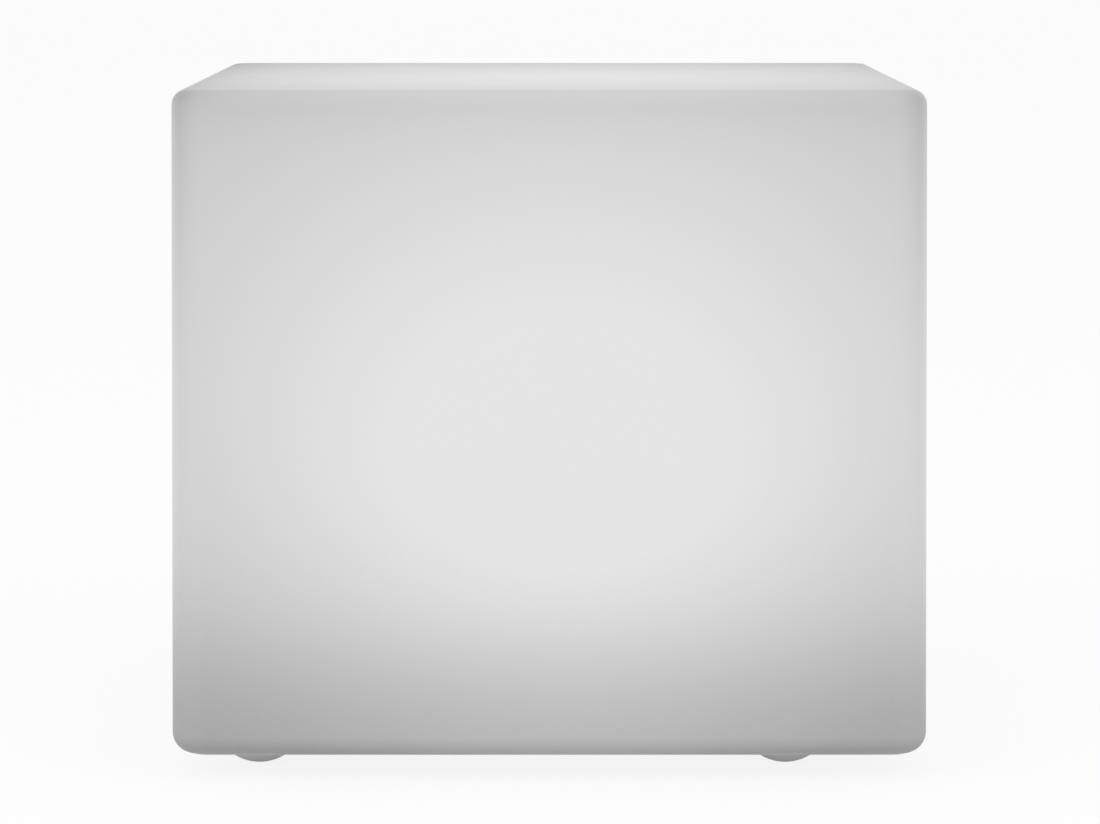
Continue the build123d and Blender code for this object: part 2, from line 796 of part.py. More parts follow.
# Components on the control board
control_chip_x = button_x + switch_width + control_chip_width
capacitor_x = control_chip_x + control_chip_width + capacitor_radius
component_y = capacitor_radius + driver_width
with BuildPart() as control_chip:
    with BuildSketch(Plane.XY.offset(board_top)):
        with Locations((control_chip_x, component_y)):
            Rectangle(control_chip_width, control_chip_width)
    extrude(amount=chip_height)
control_chip.part.label = "control_chip"
export_step(control_chip.part, "parts/control_chip.step")

with BuildPart() as charge_chip:
    with BuildSketch(Plane.XY.offset(board_top)):
        with Locations((capacitor_x + inductor_width, -component_y - driver_width)):
            Rectangle(charge_chip_length, charge_chip_width)
    extrude(amount=chip_height)
charge_chip.part.label = "charge_chip"
export_step(charge_chip.part, "parts/charge_chip.step")

with BuildPart() as led_drivers:
    with BuildSketch(Plane.XY.offset(board_top)):
        with Locations((control_chip_x, driver_width - board_screw_y)):
            with GridLocations(driver_pitch, 0, driver_count, 1):
                Rectangle(driver_width, driver_width)
    extrude(amount=chip_height)
led_drivers.part.label = "led_drivers"
export_step(led_drivers.part, "parts/led_drivers.step")

with BuildPart() as board_capacitors:
    with BuildSketch(Plane.XY.offset(board_top)):
        with Locations((capacitor_x, component_y)):
            with GridLocations(0, 2 * capacitor_radius + slip_gap, 1, 2):
                Circle(capacitor_radius)
    extrude(amount=capacitor_height)
board_capacitors.part.label = "board_capacitors"
export_step(board_capacitors.part, "parts/board_capacitors.step")

with BuildPart() as boost_inductor:
    with BuildSketch(Plane.XY.offset(board_top)):
        with Locations((capacitor_x + inductor_width, component_y)):
            RectangleRounded(inductor_width, inductor_width, inductor_corner_radius)
    extrude(amount=inductor_height)
boost_inductor.part.label = "boost_inductor"
export_step(boost_inductor.part, "parts/boost_inductor.step")

connector_places = {"battery_connector": -connector_y, "led_connector": connector_y}
for connector_name, place_y in connector_places.items():
    with BuildPart() as connector:
        with BuildSketch(Plane.XY.offset(board_top)):
            with Locations((connector_x, place_y)):
                Rectangle(connector_width, connector_length)
        extrude(amount=connector_height)
    connector.part.label = connector_name
    export_step(connector.part, "parts/" + connector_name + ".step")

# Charge light: a small LED under the board and a clear pipe that carries its light outside
with BuildPart() as indicator_led:
    with BuildSketch(Plane.XY.offset(board_bottom)):
        with Locations((0, pipe_y)):
            Rectangle(indicator_width, indicator_width)
    extrude(amount=-indicator_height)
indicator_led.part.label = "indicator_led"
export_step(indicator_led.part, "parts/indicator_led.step")

with BuildPart() as light_pipe:
    with BuildSketch(Plane.XY.offset(cover_bottom)):
        with Locations((0, pipe_y)):
            Circle(pipe_radius)
    extrude(amount=board_bottom - indicator_height - slip_gap - cover_bottom)
    with BuildSketch(Plane.XY.offset(cover_bottom)):
        with Locations((0, pipe_y)):
            Circle(pipe_head_radius)
    extrude(amount=pipe_head_height)
light_pipe.part.label = "light_pipe"
export_step(light_pipe.part, "parts/light_pipe.step")

# Power button: a cap held up by its collar, a sealing membrane under a ring, and a plunger
with BuildPart() as button_cap:
    with BuildSketch(Plane.XY.offset(cover_bottom - button_proud)):
        with Locations((button_x, 0)):
            Circle(button_radius)
    extrude(amount=button_proud + cover_thickness + slip_gap)
    chamfer(button_cap.edges().sort_by(Axis.Z)[0], button_proud)
    with BuildSketch(Plane.XY.offset(cover_top + slip_gap)):
        with Locations((button_x, 0)):
            Circle(button_radius + button_collar)
    extrude(amount=button_collar_height)
button_cap.part.label = "button_cap"
export_step(button_cap.part, "parts/button_cap.step")

membrane_top = membrane_bottom + membrane_thickness
with BuildPart() as button_membrane:
    with BuildSketch(Plane.XY.offset(membrane_bottom)):
        with Locations((button_x, 0)):
            Circle(membrane_radius)
    extrude(amount=membrane_thickness)
button_membrane.part.label = "button_membrane"
export_step(button_membrane.part, "parts/button_membrane.step")

with BuildPart() as membrane_ring:
    with BuildSketch(Plane.XY.offset(membrane_top)):
        with Locations((button_x, 0)):
            Circle(membrane_radius)
            Circle(rim_inner_radius, mode=Mode.SUBTRACT)
    extrude(amount=membrane_ring_height)
membrane_ring.part.label = "membrane_ring"
export_step(membrane_ring.part, "parts/membrane_ring.step")

switch_bottom = board_bottom - switch_height
stem_bottom = switch_bottom - stem_proud
with BuildPart() as switch_plunger:
    with BuildSketch(Plane.XY.offset(membrane_top + slip_gap)):
        with Locations((button_x, 0)):
            Circle(plunger_radius)
    extrude(amount=stem_bottom - membrane_top - slip_gap)
switch_plunger.part.label = "switch_plunger"
export_step(switch_plunger.part, "parts/switch_plunger.step")

with BuildPart() as switch_stem:
    with BuildSketch(Plane.XY.offset(stem_bottom)):
        with Locations((button_x, 0)):
            Circle(stem_radius)
    extrude(amount=stem_proud + stem_depth)
switch_stem.part.label = "switch_stem"
export_step(switch_stem.part, "parts/switch_stem.step")

with BuildPart() as tact_switch:
    with BuildSketch(Plane.XY.offset(board_bottom)):
        with Locations((button_x, 0)):
            Rectangle(switch_width, switch_width)
    extrude(amount=-switch_height)
    with BuildSketch(Plane.XY.offset(switch_bottom)):
        with Locations((button_x, 0)):
            Circle(stem_radius + swing_gap)
    extrude(amount=stem_depth + button_travel + swing_gap, mode=Mode.SUBTRACT)
tact_switch.part.label = "tact_switch"
export_step(tact_switch.part, "parts/tact_switch.step")

# Charging socket: a threaded barrel through the cover, its flange outside and its nut inside
socket_top = cover_bottom + socket_flange_height + socket_barrel_length
pin_bottom = cover_bottom + socket_mouth_depth + pin_recess
with BuildPart() as dc_socket:
    with BuildSketch(Plane.XY.offset(cover_bottom)):
        with Locations((socket_x, 0)):
            Circle(socket_flange_radius)
    extrude(amount=socket_flange_height)
    with BuildSketch(Plane.XY.offset(cover_bottom)):
        with Locations((socket_x, 0)):
            Circle(socket_barrel_radius)
    extrude(amount=socket_top - cover_bottom)
    with BuildSketch(Plane.XY.offset(cover_bottom)):
        with Locations((socket_x, 0)):
            Circle(socket_mouth_radius)
    extrude(amount=socket_mouth_depth, mode=Mode.SUBTRACT)
    with BuildSketch(Plane.XY.offset(cover_bottom)):
        with Locations((socket_x, 0)):
            Circle(socket_bore_radius)
    extrude(amount=socket_top - socket_back - cover_bottom, mode=Mode.SUBTRACT)
    with BuildSketch(Plane.XY.offset(socket_top - socket_back)):
        with Locations((socket_x, 0)):
            Circle(pin_tail_radius + fit_gap)
    extrude(amount=socket_back, mode=Mode.SUBTRACT)
    with BuildSketch(Plane.XY.offset(socket_top)):
        with Locations((socket_x, 0)):
            with GridLocations(0, terminal_spacing, 1, 2):
                Rectangle(terminal_width, terminal_thickness)
    extrude(amount=terminal_length)
dc_socket.part.label = "dc_socket"
export_step(dc_socket.part, "parts/dc_socket.step")

with BuildPart() as dc_socket_nut:
    with BuildSketch(Plane.XY.offset(cover_top)):
        with Locations((socket_x, 0)):
            RegularPolygon(nut_radius, 6)
            Circle(socket_barrel_radius + fit_gap, mode=Mode.SUBTRACT)
    extrude(amount=nut_height)
dc_socket_nut.part.label = "dc_socket_nut"
export_step(dc_socket_nut.part, "parts/dc_socket_nut.step")

with BuildPart() as socket_pin:
    with BuildSketch(Plane.XY.offset(pin_bottom)):
        with Locations((socket_x, 0)):
            Circle(pin_radius)
    extrude(amount=socket_top - socket_back - pin_bottom)
    chamfer(socket_pin.edges().sort_by(Axis.Z)[0], pin_chamfer)
    with BuildSketch(Plane.XY.offset(socket_top - socket_back)):
        with Locations((socket_x, 0)):
            Circle(pin_tail_radius)
    extrude(amount=socket_back)
socket_pin.part.label = "socket_pin"
export_step(socket_pin.part, "parts/socket_pin.step")

# Rubber cap of the socket, which swings on a strap that is plugged into the cover
cap_top = cover_bottom - slip_gap
cap_radius = socket_mouth_radius + cap_rim
cap_ear_length = hinge_x - cap_plug_gap - socket_x
strap_bottom = cap_top - (cap_thickness + strap_thickness) / 2
with BuildPart() as socket_cap:
    with BuildSketch(Plane.XY.offset(cap_top)):
        with Locations((socket_x, 0)):
            Circle(cap_radius)
    extrude(amount=-cap_thickness)
    chamfer(socket_cap.edges().sort_by(Axis.Z)[0], cap_edge_chamfer)
    with BuildSketch(Plane.XY.offset(cap_top)):
        with Locations((socket_x, 0)):
            Circle(socket_mouth_radius - swing_gap)
    extrude(amount=socket_mouth_depth + slip_gap - cap_plug_gap)
    with BuildSketch(Plane.XY.offset(strap_bottom)):
        with Locations((socket_x, 0)):
            Rectangle(cap_ear_length, strap_width, align=(Align.MIN, Align.CENTER))
    extrude(amount=strap_thickness)
socket_cap.part.label = "socket_cap"
export_step(socket_cap.part, "parts/socket_cap.step")

with BuildPart() as cap_strap:
    with BuildSketch(Plane.XY.offset(strap_bottom)):
        with Locations((hinge_x + hinge_web, 0)):
            Rectangle(strap_length, strap_width, align=(Align.MIN, Align.CENTER))
    extrude(amount=strap_thickness)
    fillet(cap_strap.edges().filter_by(Axis.Z).group_by(Axis.X)[-1], strap_corner_radius)
    with BuildSketch(Plane.XY.offset(strap_bottom)):
        with Locations((anchor_x, 0)):
            Circle(anchor_radius)
    extrude(amount=cover_top - strap_bottom + anchor_head_height)
    with BuildSketch(Plane.XY.offset(cover_top)):
        with Locations((anchor_x, 0)):
            Circle(anchor_head_radius)
    extrude(amount=anchor_head_height)
cap_strap.part.label = "cap_strap"
export_step(cap_strap.part, "parts/cap_strap.step")

# Leads of the battery, from the end of the pack down into its connector
pack_end = pack_shift - cell_length / 2 - sleeve_thickness
connector_top = board_top + connector_height
lead_drop = (pack_middle - connector_top) / 2
with BuildPart() as battery_leads:
    for side in (-1, 1):
        pack_y = side * battery_lead_pitch - connector_y
        plug_y = side * battery_lead_pitch / 2 - connector_y
        exit_height = pack_middle + side * battery_lead_radius
        add(
            lead(
                [
                    (pack_end, pack_y, exit_height),
                    (connector_x - battery_lead_radius, pack_y, exit_height),
                    (connector_x, plug_y, connector_top + lead_drop),
                    (connector_x, plug_y, connector_top),
                ],
                battery_lead_radius,
            )
        )
battery_leads.part.label = "battery_leads"
export_step(battery_leads.part, "parts/battery_leads.step")

# Leads of the LED board, from their connector up through the ceiling of the cup
with BuildPart() as led_leads:
    for index in range(led_lead_count):
        step = (index - (led_lead_count - 1) / 2) * led_lead_pitch
        add(
            lead(
                [
                    (connector_x, connector_y + step, connector_top),
                    (connector_x, connector_y + step, connector_top + lead_drop),
                    (led_hole_x, led_hole_y + step, cup_ceiling - lead_drop),
                    (led_hole_x, led_hole_y + step, led_board_top + led_lead_radius),
                ],
                led_lead_radius,
            )
        )
led_leads.part.label = "led_leads"
export_step(led_leads.part, "parts/led_leads.step")

# Leads of the socket, from its terminals over to the control board
terminal_top = socket_top + terminal_length
socket_lead_top = pack_bottom - bracket_thickness - 4 * socket_lead_radius
pad_x = socket_x - notch_half_width - 4 * socket_lead_radius
with BuildPart() as socket_leads:
    for side in (-1, 1):
        lead_y = side * terminal_spacing / 2
        add(
            lead(
                [
                    (socket_x, lead_y, terminal_top),
                    (socket_x, lead_y, socket_lead_top),
                    (pad_x, lead_y, socket_lead_top),
                    (pad_x, lead_y, board_top),
                ],
                socket_lead_radius,
            )
        )
socket_leads.part.label = "socket_leads"
export_step(socket_leads.part, "parts/socket_leads.step")
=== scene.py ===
"""Looks of the LED cube light: the glowing block, its feet, and the light module under it."""

from math import cos, pi, radians, sin, tan

import bpy
import numpy as np
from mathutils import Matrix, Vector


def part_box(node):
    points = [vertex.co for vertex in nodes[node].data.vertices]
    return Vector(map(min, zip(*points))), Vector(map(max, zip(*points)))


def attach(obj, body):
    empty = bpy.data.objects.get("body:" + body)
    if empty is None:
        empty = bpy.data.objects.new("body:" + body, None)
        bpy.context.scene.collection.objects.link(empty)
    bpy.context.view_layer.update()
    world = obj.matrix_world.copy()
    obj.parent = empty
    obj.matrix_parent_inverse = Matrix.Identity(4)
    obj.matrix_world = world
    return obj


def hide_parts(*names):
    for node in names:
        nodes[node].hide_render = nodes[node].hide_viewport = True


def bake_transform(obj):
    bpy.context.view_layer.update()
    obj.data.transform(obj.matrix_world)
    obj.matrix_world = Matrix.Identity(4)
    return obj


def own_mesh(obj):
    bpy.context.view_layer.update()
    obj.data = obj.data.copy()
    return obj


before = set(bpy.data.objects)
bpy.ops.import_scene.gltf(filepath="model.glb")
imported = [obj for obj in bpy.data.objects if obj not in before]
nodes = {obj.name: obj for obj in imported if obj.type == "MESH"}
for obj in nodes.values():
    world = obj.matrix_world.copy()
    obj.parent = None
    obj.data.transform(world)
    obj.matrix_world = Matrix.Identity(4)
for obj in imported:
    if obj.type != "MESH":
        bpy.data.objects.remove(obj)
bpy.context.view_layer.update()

# Block: one rotationally moulded shell of translucent white polyethylene, 3.5 mm thick, with
# drafted sides, soft edges, and a round recess underneath that the light module is bolted into.
# It glows from the module in its floor, most in the middle of each side and least at the foot.
# Painted shade darkens the round foot and the upright corners, and the top towards the back.
block_low, block_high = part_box("shell")
block_half = 0.2200
block_foot = block_low.z
block_head = block_high.z
block_draft = tan(radians(0.52))
block_corner = 0.0220
head_round = 0.0090
foot_round = 0.0120
block_wall = 0.0035
recess_radius = 0.0801
recess_draft = tan(radians(3.0))
recess_lip = 0.0020
roof_hole_radius = 0.06615
roof_height = 0.0240
corner_steps = 14
side_steps = 22
wall_rows = 14
bend_step = 0.001


def rounded_square(half, corner):
    """Outline of a square with round corners, anticlockwise from the +X side, as (N, 2) points.

    Each corner is an arc of corner_steps equal turns round its own centre, half - corner from
    both middle lines; each straight side between two arcs has side_steps equal steps.
    """
    turn = np.linspace(0, pi / 2, corner_steps + 1)
    points = []
    for quarter in range(4):
        start = quarter * pi / 2
        centre = np.array([cos(start + pi / 4), sin(start + pi / 4)]) * (half - corner) * 2**0.5
        arc = centre + corner * np.stack([np.cos(start + turn), np.sin(start + turn)], 1)
        along = np.linspace(0, 1, side_steps + 1)[1:-1, None]
        following = np.array([-arc[0, 1], arc[0, 0]])
        points += [arc, arc[-1] + along * (following - arc[-1])]
    return np.concatenate(points)


def ring(outline, height):
    """The (N, 2) outline lifted to one height, as (N, 3) points."""
    return np.column_stack([outline, np.full(len(outline), height)])


def skin(name, rings, material, poles=(None, None)):
    """A closed surface over rings of equally many points, each joined to the next.

    Point (row, column) is vertex row * N + column, and the quads wrap round in the columns. A
    pole closes the first or last ring with a fan of triangles to one point.
    """
    rings = np.asarray(rings, float)
    rows, count = rings.shape[:2]
    row, column = np.meshgrid(np.arange(rows - 1), np.arange(count), indexing="ij")
    here = (row * count + column).ravel()
    beside = (row * count + (column + 1) % count).ravel()
    faces = np.column_stack([here, here + count, beside + count, beside]).tolist()
    points = rings.reshape(-1, 3)
    around = np.arange(count)
    if poles[0] is not None:
        faces += np.column_stack([np.full(count, len(points)), around, (around + 1) % count]).tolist()
        points = np.vstack([points, poles[0]])
    if poles[1] is not None:
        last = (rows - 1) * count
        tip = np.full(count, len(points))
        faces += np.column_stack([tip, last + (around + 1) % count, last + around]).tolist()
        points = np.vstack([points, poles[1]])
    mesh = bpy.data.meshes.new(name)
    mesh.from_pydata(points.tolist(), [], faces)
    mesh.polygons.foreach_set("use_smooth", np.ones(len(faces), bool))
    mesh.materials.append(material)
    piece = bpy.data.objects.new(name, mesh)
    bpy.context.scene.collection.objects.link(piece)
    return piece


def link(material, *pairs):
    """Joins node sockets of a material or of the sky, given as (output, input) pairs."""
    for output, socket in pairs:
        material.node_tree.links.new(output, socket)


def moulded(name, dark, light, patch, roughness, grain, relief, metallic=0.0, coat=0.0):
    """A finish whose colour drifts between two tones and whose skin has a fine relief.

    Colour = dark + (light - dark) * noise(p / patch), roughness follows the same noise by a
    tenth, and the height of the relief is noise(p / grain) * relief. Lengths are in metres.
    """
    material = bpy.data.materials.new(name)
    material.use_nodes = True
    tree = material.node_tree
    shader = tree.nodes["Principled BSDF"]
    shader.inputs["Metallic"].default_value = metallic
    shader.inputs["Coat Weight"].default_value = coat
    place = tree.nodes.new("ShaderNodeTexCoord")
    drift = tree.nodes.new("ShaderNodeTexNoise")
    drift.inputs["Scale"].default_value = 1 / patch
    drift.inputs["Detail"].default_value = 3
    tone = tree.nodes.new("ShaderNodeMix")
    tone.data_type = "RGBA"
    tone.inputs[6].default_value = (*dark, 1)
    tone.inputs[7].default_value = (*light, 1)
    sheen = tree.nodes.new("ShaderNodeMapRange")
    sheen.inputs["To Min"].default_value = roughness * 0.9
    sheen.inputs["To Max"].default_value = min(roughness * 1.1, 1)
    fine = tree.nodes.new("ShaderNodeTexNoise")
    fine.inputs["Scale"].default_value = 1 / grain
    fine.inputs["Detail"].default_value = 2
    bump = tree.nodes.new("ShaderNodeBump")
    bump.inputs["Distance"].default_value = relief
    bump.inputs["Strength"].default_value = 0.6
    link(
        material,
        (place.outputs["Object"], drift.inputs["Vector"]),
        (place.outputs["Object"], fine.inputs["Vector"]),
        (drift.outputs["Fac"], tone.inputs[0]),
        (drift.outputs["Fac"], sheen.inputs["Value"]),
        (tone.outputs[2], shader.inputs["Base Color"]),
        (sheen.outputs["Result"], shader.inputs["Roughness"]),
        (fine.outputs["Fac"], bump.inputs["Height"]),
        (bump.outputs["Normal"], shader.inputs["Normal"]),
    )
    return material


def sums(material, operation, first, second=None):
    """Output of a Math node; first and second are sockets or plain numbers."""
    node = material.node_tree.nodes.new("ShaderNodeMath")
    node.operation = operation
    for socket, value in zip(node.inputs, (first, second)):
        if isinstance(value, (int, float)):
            socket.default_value = value
        elif value is not None:
            link(material, (value, socket))
    return node.outputs[0]


# The lamp and the fall of its light: a least-squares fit to tones of the photographed front and top
lamp_height = 0.0716
lamp_shift = 0.0088
lamp_blur = 0.0337
glow_floor = 0.118
glow_gain = 0.985
glow_curve = 0.253
glow_rise = -0.081
# The most that the wall shows, and the least that it gives itself
glow_most = 0.783
glow_least = 0.03
# What parts of the wall lose or gain: set against the photograph, not derived
head_loss = 0.130
# Painted shade and light: the top darker towards the back and lighter towards the front, against the sky's
# sheen
painted_top_tilt = 0.040
round_loss = 0.12
brim_loss = 0.06
brim_power = 20
side_loss = 0.11
side_power = 12
# Painted shade: the upright corners darker, the more so towards the top
painted_corner_shade = 0.17
# Painted shade: faces that look down, at the round foot, darker
painted_foot_shade = 0.07
under_glow = 0.16
under_power = 8
tub_share = 0.25
shell_tone = 0.33
shell_gloss = 0.15
shell_polyethylene = moulded(
    "glowing_polyethylene",
    (shell_tone * 0.99,) * 3,
    (shell_tone * 1.01,) * 3,
    patch=0.060,
    roughness=0.46,
    grain=0.0016,
    relief=0.00006,
)


def glow(material):
    """Lets the module's light through the wall: emission on a plain strength of 1.

    The module is a lamp at S = (lamp_shift, 0, lamp_height) that shines upwards. With r = p - S
    and the wall's normal n, a wall receives e = a^2 * (n . r) * u / |r|^4, where a is half the
    block's width and u = (r_z + sqrt(r_z^2 + lamp_blur^2)) / 2 is the height above the lamp with
    a soft start. With t the share of the block's height, the wall shows
    floor + gain * e^curve + rise * t, at most glow_most, minus what the room's light already
    gives the plastic. It shows less where it faces up, and there by (|r_x| / a)^side_power
    towards the sides; on the round of the brim, by n_z (1 - n_z), and under it, by t^brim_power.
    Painted shade and light: where it faces up, it is darker towards the back and lighter towards
    the front by r_y / a, against the sky's sheen on it, which is brighter at the back. Painted
    shade: where it faces down, at the round foot, it is darker by -n_z, and on the upright corners
    by t * min(|n_x|, |n_y|). Faces that look down add under_glow * (-n_z)^under_power. The tub
    turns its back to the lamp and gets tub_share. These losses are not derived from physics.
    """
    tree = material.node_tree
    shader = tree.nodes["Principled BSDF"]
    place = tree.nodes.new("ShaderNodeTexCoord")
    surface = tree.nodes.new("ShaderNodeNewGeometry")
    reach = tree.nodes.new("ShaderNodeVectorMath")
    reach.operation = "SUBTRACT"
    reach.inputs[1].default_value = (lamp_shift, 0, lamp_height)
    facing = tree.nodes.new("ShaderNodeVectorMath")
    facing.operation = "DOT_PRODUCT"
    span = tree.nodes.new("ShaderNodeVectorMath")
    span.operation = "LENGTH"
    parts = tree.nodes.new("ShaderNodeSeparateXYZ")
    slope = tree.nodes.new("ShaderNodeSeparateXYZ")
    turned_away = tree.nodes.new("ShaderNodeVectorMath")
    turned_away.operation = "ABSOLUTE"
    sides = tree.nodes.new("ShaderNodeSeparateXYZ")
    link(
        material,
        (place.outputs["Object"], reach.inputs[0]),
        (reach.outputs["Vector"], facing.inputs[0]),
        (surface.outputs["Normal"], facing.inputs[1]),
        (reach.outputs["Vector"], span.inputs[0]),
        (reach.outputs["Vector"], parts.inputs["Vector"]),
        (surface.outputs["Normal"], slope.inputs["Vector"]),
        (surface.outputs["Normal"], turned_away.inputs[0]),
        (turned_away.outputs["Vector"], sides.inputs["Vector"]),
    )

    def do(operation, first, second=None):
        return sums(material, operation, first, second)

    around = do("MULTIPLY", facing.outputs["Value"], -tub_share)
    onto = do("MAXIMUM", facing.outputs["Value"], around)
    above = do("MULTIPLY", parts.outputs["Z"], parts.outputs["Z"])
    above = do("SQRT", do("ADD", above, lamp_blur**2))
    above = do("MULTIPLY", do("ADD", above, parts.outputs["Z"]), 0.5)
    received = do("MULTIPLY", onto, above)
    received = do("MULTIPLY", received, block_half**2)
    received = do("DIVIDE", received, do("POWER", span.outputs["Value"], 4.0))
    shown = do("POWER", received, glow_curve)
    shown = do("MULTIPLY", shown, glow_gain)
    shown = do("ADD", shown, glow_floor)
    climb = do("SUBTRACT", parts.outputs["Z"], block_foot - lamp_height)
    climb = do("DIVIDE", climb, block_head - block_foot)
    shown = do("ADD", shown, do("MULTIPLY", climb, glow_rise))
    upward = do("MAXIMUM", slope.outputs["Z"], 0.0)
    loss = do("MULTIPLY", upward, -head_loss)
    shown = do("MULTIPLY", shown, do("ADD", loss, 1.0))
    shown = do("MINIMUM", shown, glow_most)
    brim = do("POWER", do("MAXIMUM", climb, 0.0), brim_power)
    shown = do("SUBTRACT", shown, do("MULTIPLY", brim, brim_loss))
    aside = do("DIVIDE", do("ABSOLUTE", parts.outputs["X"]), block_half)
    aside = do("MULTIPLY", do("POWER", aside, side_power), side_loss)
    # Painted shade and light on the top: darker towards the back, lighter towards the front
    behind = do("MULTIPLY", parts.outputs["Y"], painted_top_tilt / block_half)
    aside = do("ADD", aside, behind)
    sloped = do("MULTIPLY", do("SUBTRACT", 1.0, upward), round_loss)
    aside = do("ADD", aside, sloped)
    shown = do("SUBTRACT", shown, do("MULTIPLY", aside, upward))
    # Painted shade on the upright corners, growing towards the top
    cornered = do("MINIMUM", sides.outputs["X"], sides.outputs["Y"])
    cornered = do("MULTIPLY", do("MULTIPLY", cornered, climb), painted_corner_shade)
    shown = do("SUBTRACT", shown, cornered)
    downward = do("MAXIMUM", do("MULTIPLY", slope.outputs["Z"], -1.0), 0.0)
    # Painted shade where the wall faces down, at the round foot
    shown = do("SUBTRACT", shown, do("MULTIPLY", downward, painted_foot_shade))
    under = do("MULTIPLY", do("POWER", downward, under_power), under_glow)
    own = do("SUBTRACT", shown, shell_tone)
    own = do("ADD", do("MAXIMUM", own, glow_least), under)
    colour = tree.nodes.new("ShaderNodeCombineColor")
    link(
        material,
        (own, colour.inputs[0]),
        (own, colour.inputs[1]),
        (own, colour.inputs[2]),
        (colour.outputs["Color"], shader.inputs["Emission Color"]),
    )
    shader.inputs["Emission Strength"].default_value = 1.0


glow(shell_polyethylene)
shell_shader = shell_polyethylene.node_tree.nodes["Principled BSDF"]
shell_shader.inputs["Specular IOR Level"].default_value = shell_gloss


def block_line(height, inset, sink=0.0):
    """The block's outline at a height, taken in by inset at an edge and by sink through the wall."""
    narrowing = (height - block_foot) * block_draft
    half = block_half - narrowing - inset - sink
    return rounded_square(half, block_corner - narrowing - inset - sink)


def on_circle(radius):
    """A circle with its points in the same directions as the corners and sides of the block."""
    line = rounded_square(block_half, block_corner)
    return line / np.linalg.norm(line, axis=1)[:, None] * radius


def edge_rows(height, radius, way, sink=0.0, steps=8):
    """Rows of a round edge: inset = r (1 - cos t), height = edge - way * r (1 - sin t), t to 90 degrees."""
    rows = []
    for turn in np.linspace(0, pi / 2, steps + 1):
        level = height - way * radius * (1 - sin(turn))
        rows.append(ring(block_line(level, radius * (1 - cos(turn)), sink), level))
    return rows


def block_skin(sink, head, foot, head_bend, foot_bend, mouth):
    """Rows of one face of the block's wall from the middle of its top to a round mouth below."""
    rim = edge_rows(head, head_bend, 1, sink)
    crown = rim[-1]
    rows = [crown * [share, share, 1] for share in (0.15, 0.4, 0.7, 0.93, 0.99)]
    rows += rim[::-1]
    for level in np.linspace(head - head_bend - bend_step, foot + foot_bend + bend_step, wall_rows):
        rows.append(ring(block_line(level, 0, sink), level))
    rows += edge_rows(foot, foot_bend, -1, sink)
    brim = rows[-1]
    for share in (0.01, 0.12, 0.35, 0.6, 0.85, 0.985):
        rows.append(ring(brim[:, :2] * (1 - share) + on_circle(mouth) * share, foot))
    return rows


def recess_width(level, sink=0.0):
    """Radius of the recess at a height: it widens downwards by its draft."""
    return recess_radius + sink + (roof_height - level) * recess_draft


recess_levels = (0.0185, 0.0222)
lip_step = 0.0005
roof_bend = 0.0015
roof_land = 0.0018
hole_break = 0.0003
lip_low = block_foot + recess_lip
lip_rim = recess_width(lip_low) + recess_lip
outer_rows = block_skin(0, block_head, block_foot, head_round, foot_round, lip_rim)
for turn in np.linspace(0, pi / 2, 6):
    radius = recess_width(lip_low) + recess_lip * (1 - sin(turn))
    outer_rows.append(ring(on_circle(radius), block_foot + recess_lip * (1 - cos(turn))))
for level in (lip_low + lip_step, *recess_levels):
    outer_rows.append(ring(on_circle(recess_width(level)), level))
for turn in np.linspace(0, pi / 2, 5):
    radius = recess_width(roof_height) - roof_bend * (1 - cos(turn))
    outer_rows.append(ring(on_circle(radius), roof_height - roof_bend * (1 - sin(turn))))
outer_rows.append(ring(on_circle(recess_radius - roof_land), roof_height))
outer_rows.append(ring(on_circle(roof_hole_radius + hole_break), roof_height))
outer_rows.append(ring(on_circle(roof_hole_radius), roof_height + hole_break))
inner_head = block_head - block_wall
inner_foot = block_foot + block_wall
tub_top = roof_height + block_wall
inner_rows = block_skin(
    block_wall,
    inner_head,
    inner_foot,
    head_round - block_wall,
    foot_round - block_wall,
    recess_width(inner_foot, block_wall),
)
inner_rows.append(ring(on_circle(recess_width(inner_foot, block_wall)), inner_foot))
inner_rows.append(ring(on_circle(recess_width(tub_top, block_wall)), tub_top))
inner_rows.append(ring(on_circle(roof_hole_radius + hole_break), tub_top))
inner_rows.append(ring(on_circle(roof_hole_radius), tub_top - hole_break))
block = skin(
    "block_shell",
    outer_rows + inner_rows[::-1],
    shell_polyethylene,
    poles=((0, 0, block_head), (0, 0, inner_head)),
)
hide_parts("shell")
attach(block, "housing")

# Feet: four soft domes of translucent elastomer, cut flat where they stand, each with a stepped
# hole up through its middle for the screw that holds it.
feet_low, feet_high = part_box("feet")
foot_radius = 0.0250
foot_flat = 0.0065
foot_height = feet_high.z
foot_hole = 0.0039
foot_web = 0.0060
foot_shank = 0.00225
sole_break = 0.0004
groove_outside = 0.0057
groove_inside = 0.0048
groove_slope = 0.0002
dome_rows = 22
foot_columns = 96
foot_left = feet_low.x + foot_radius
foot_right = feet_high.x - foot_radius
foot_back = feet_high.y - foot_radius
foot_places = [
    (foot_left, -foot_back),
    (foot_right, -foot_back),
    (foot_left, foot_back),
    (foot_right, foot_back),
]
foot_elastomer = moulded(
    "satin_elastomer_painted_glow",
    (0.52, 0.52, 0.52),
    (0.58, 0.58, 0.58),
    patch=0.020,
    roughness=0.55,
    grain=0.0009,
    relief=0.00008,
)

patch_waves = 150
patch_share = 0.9


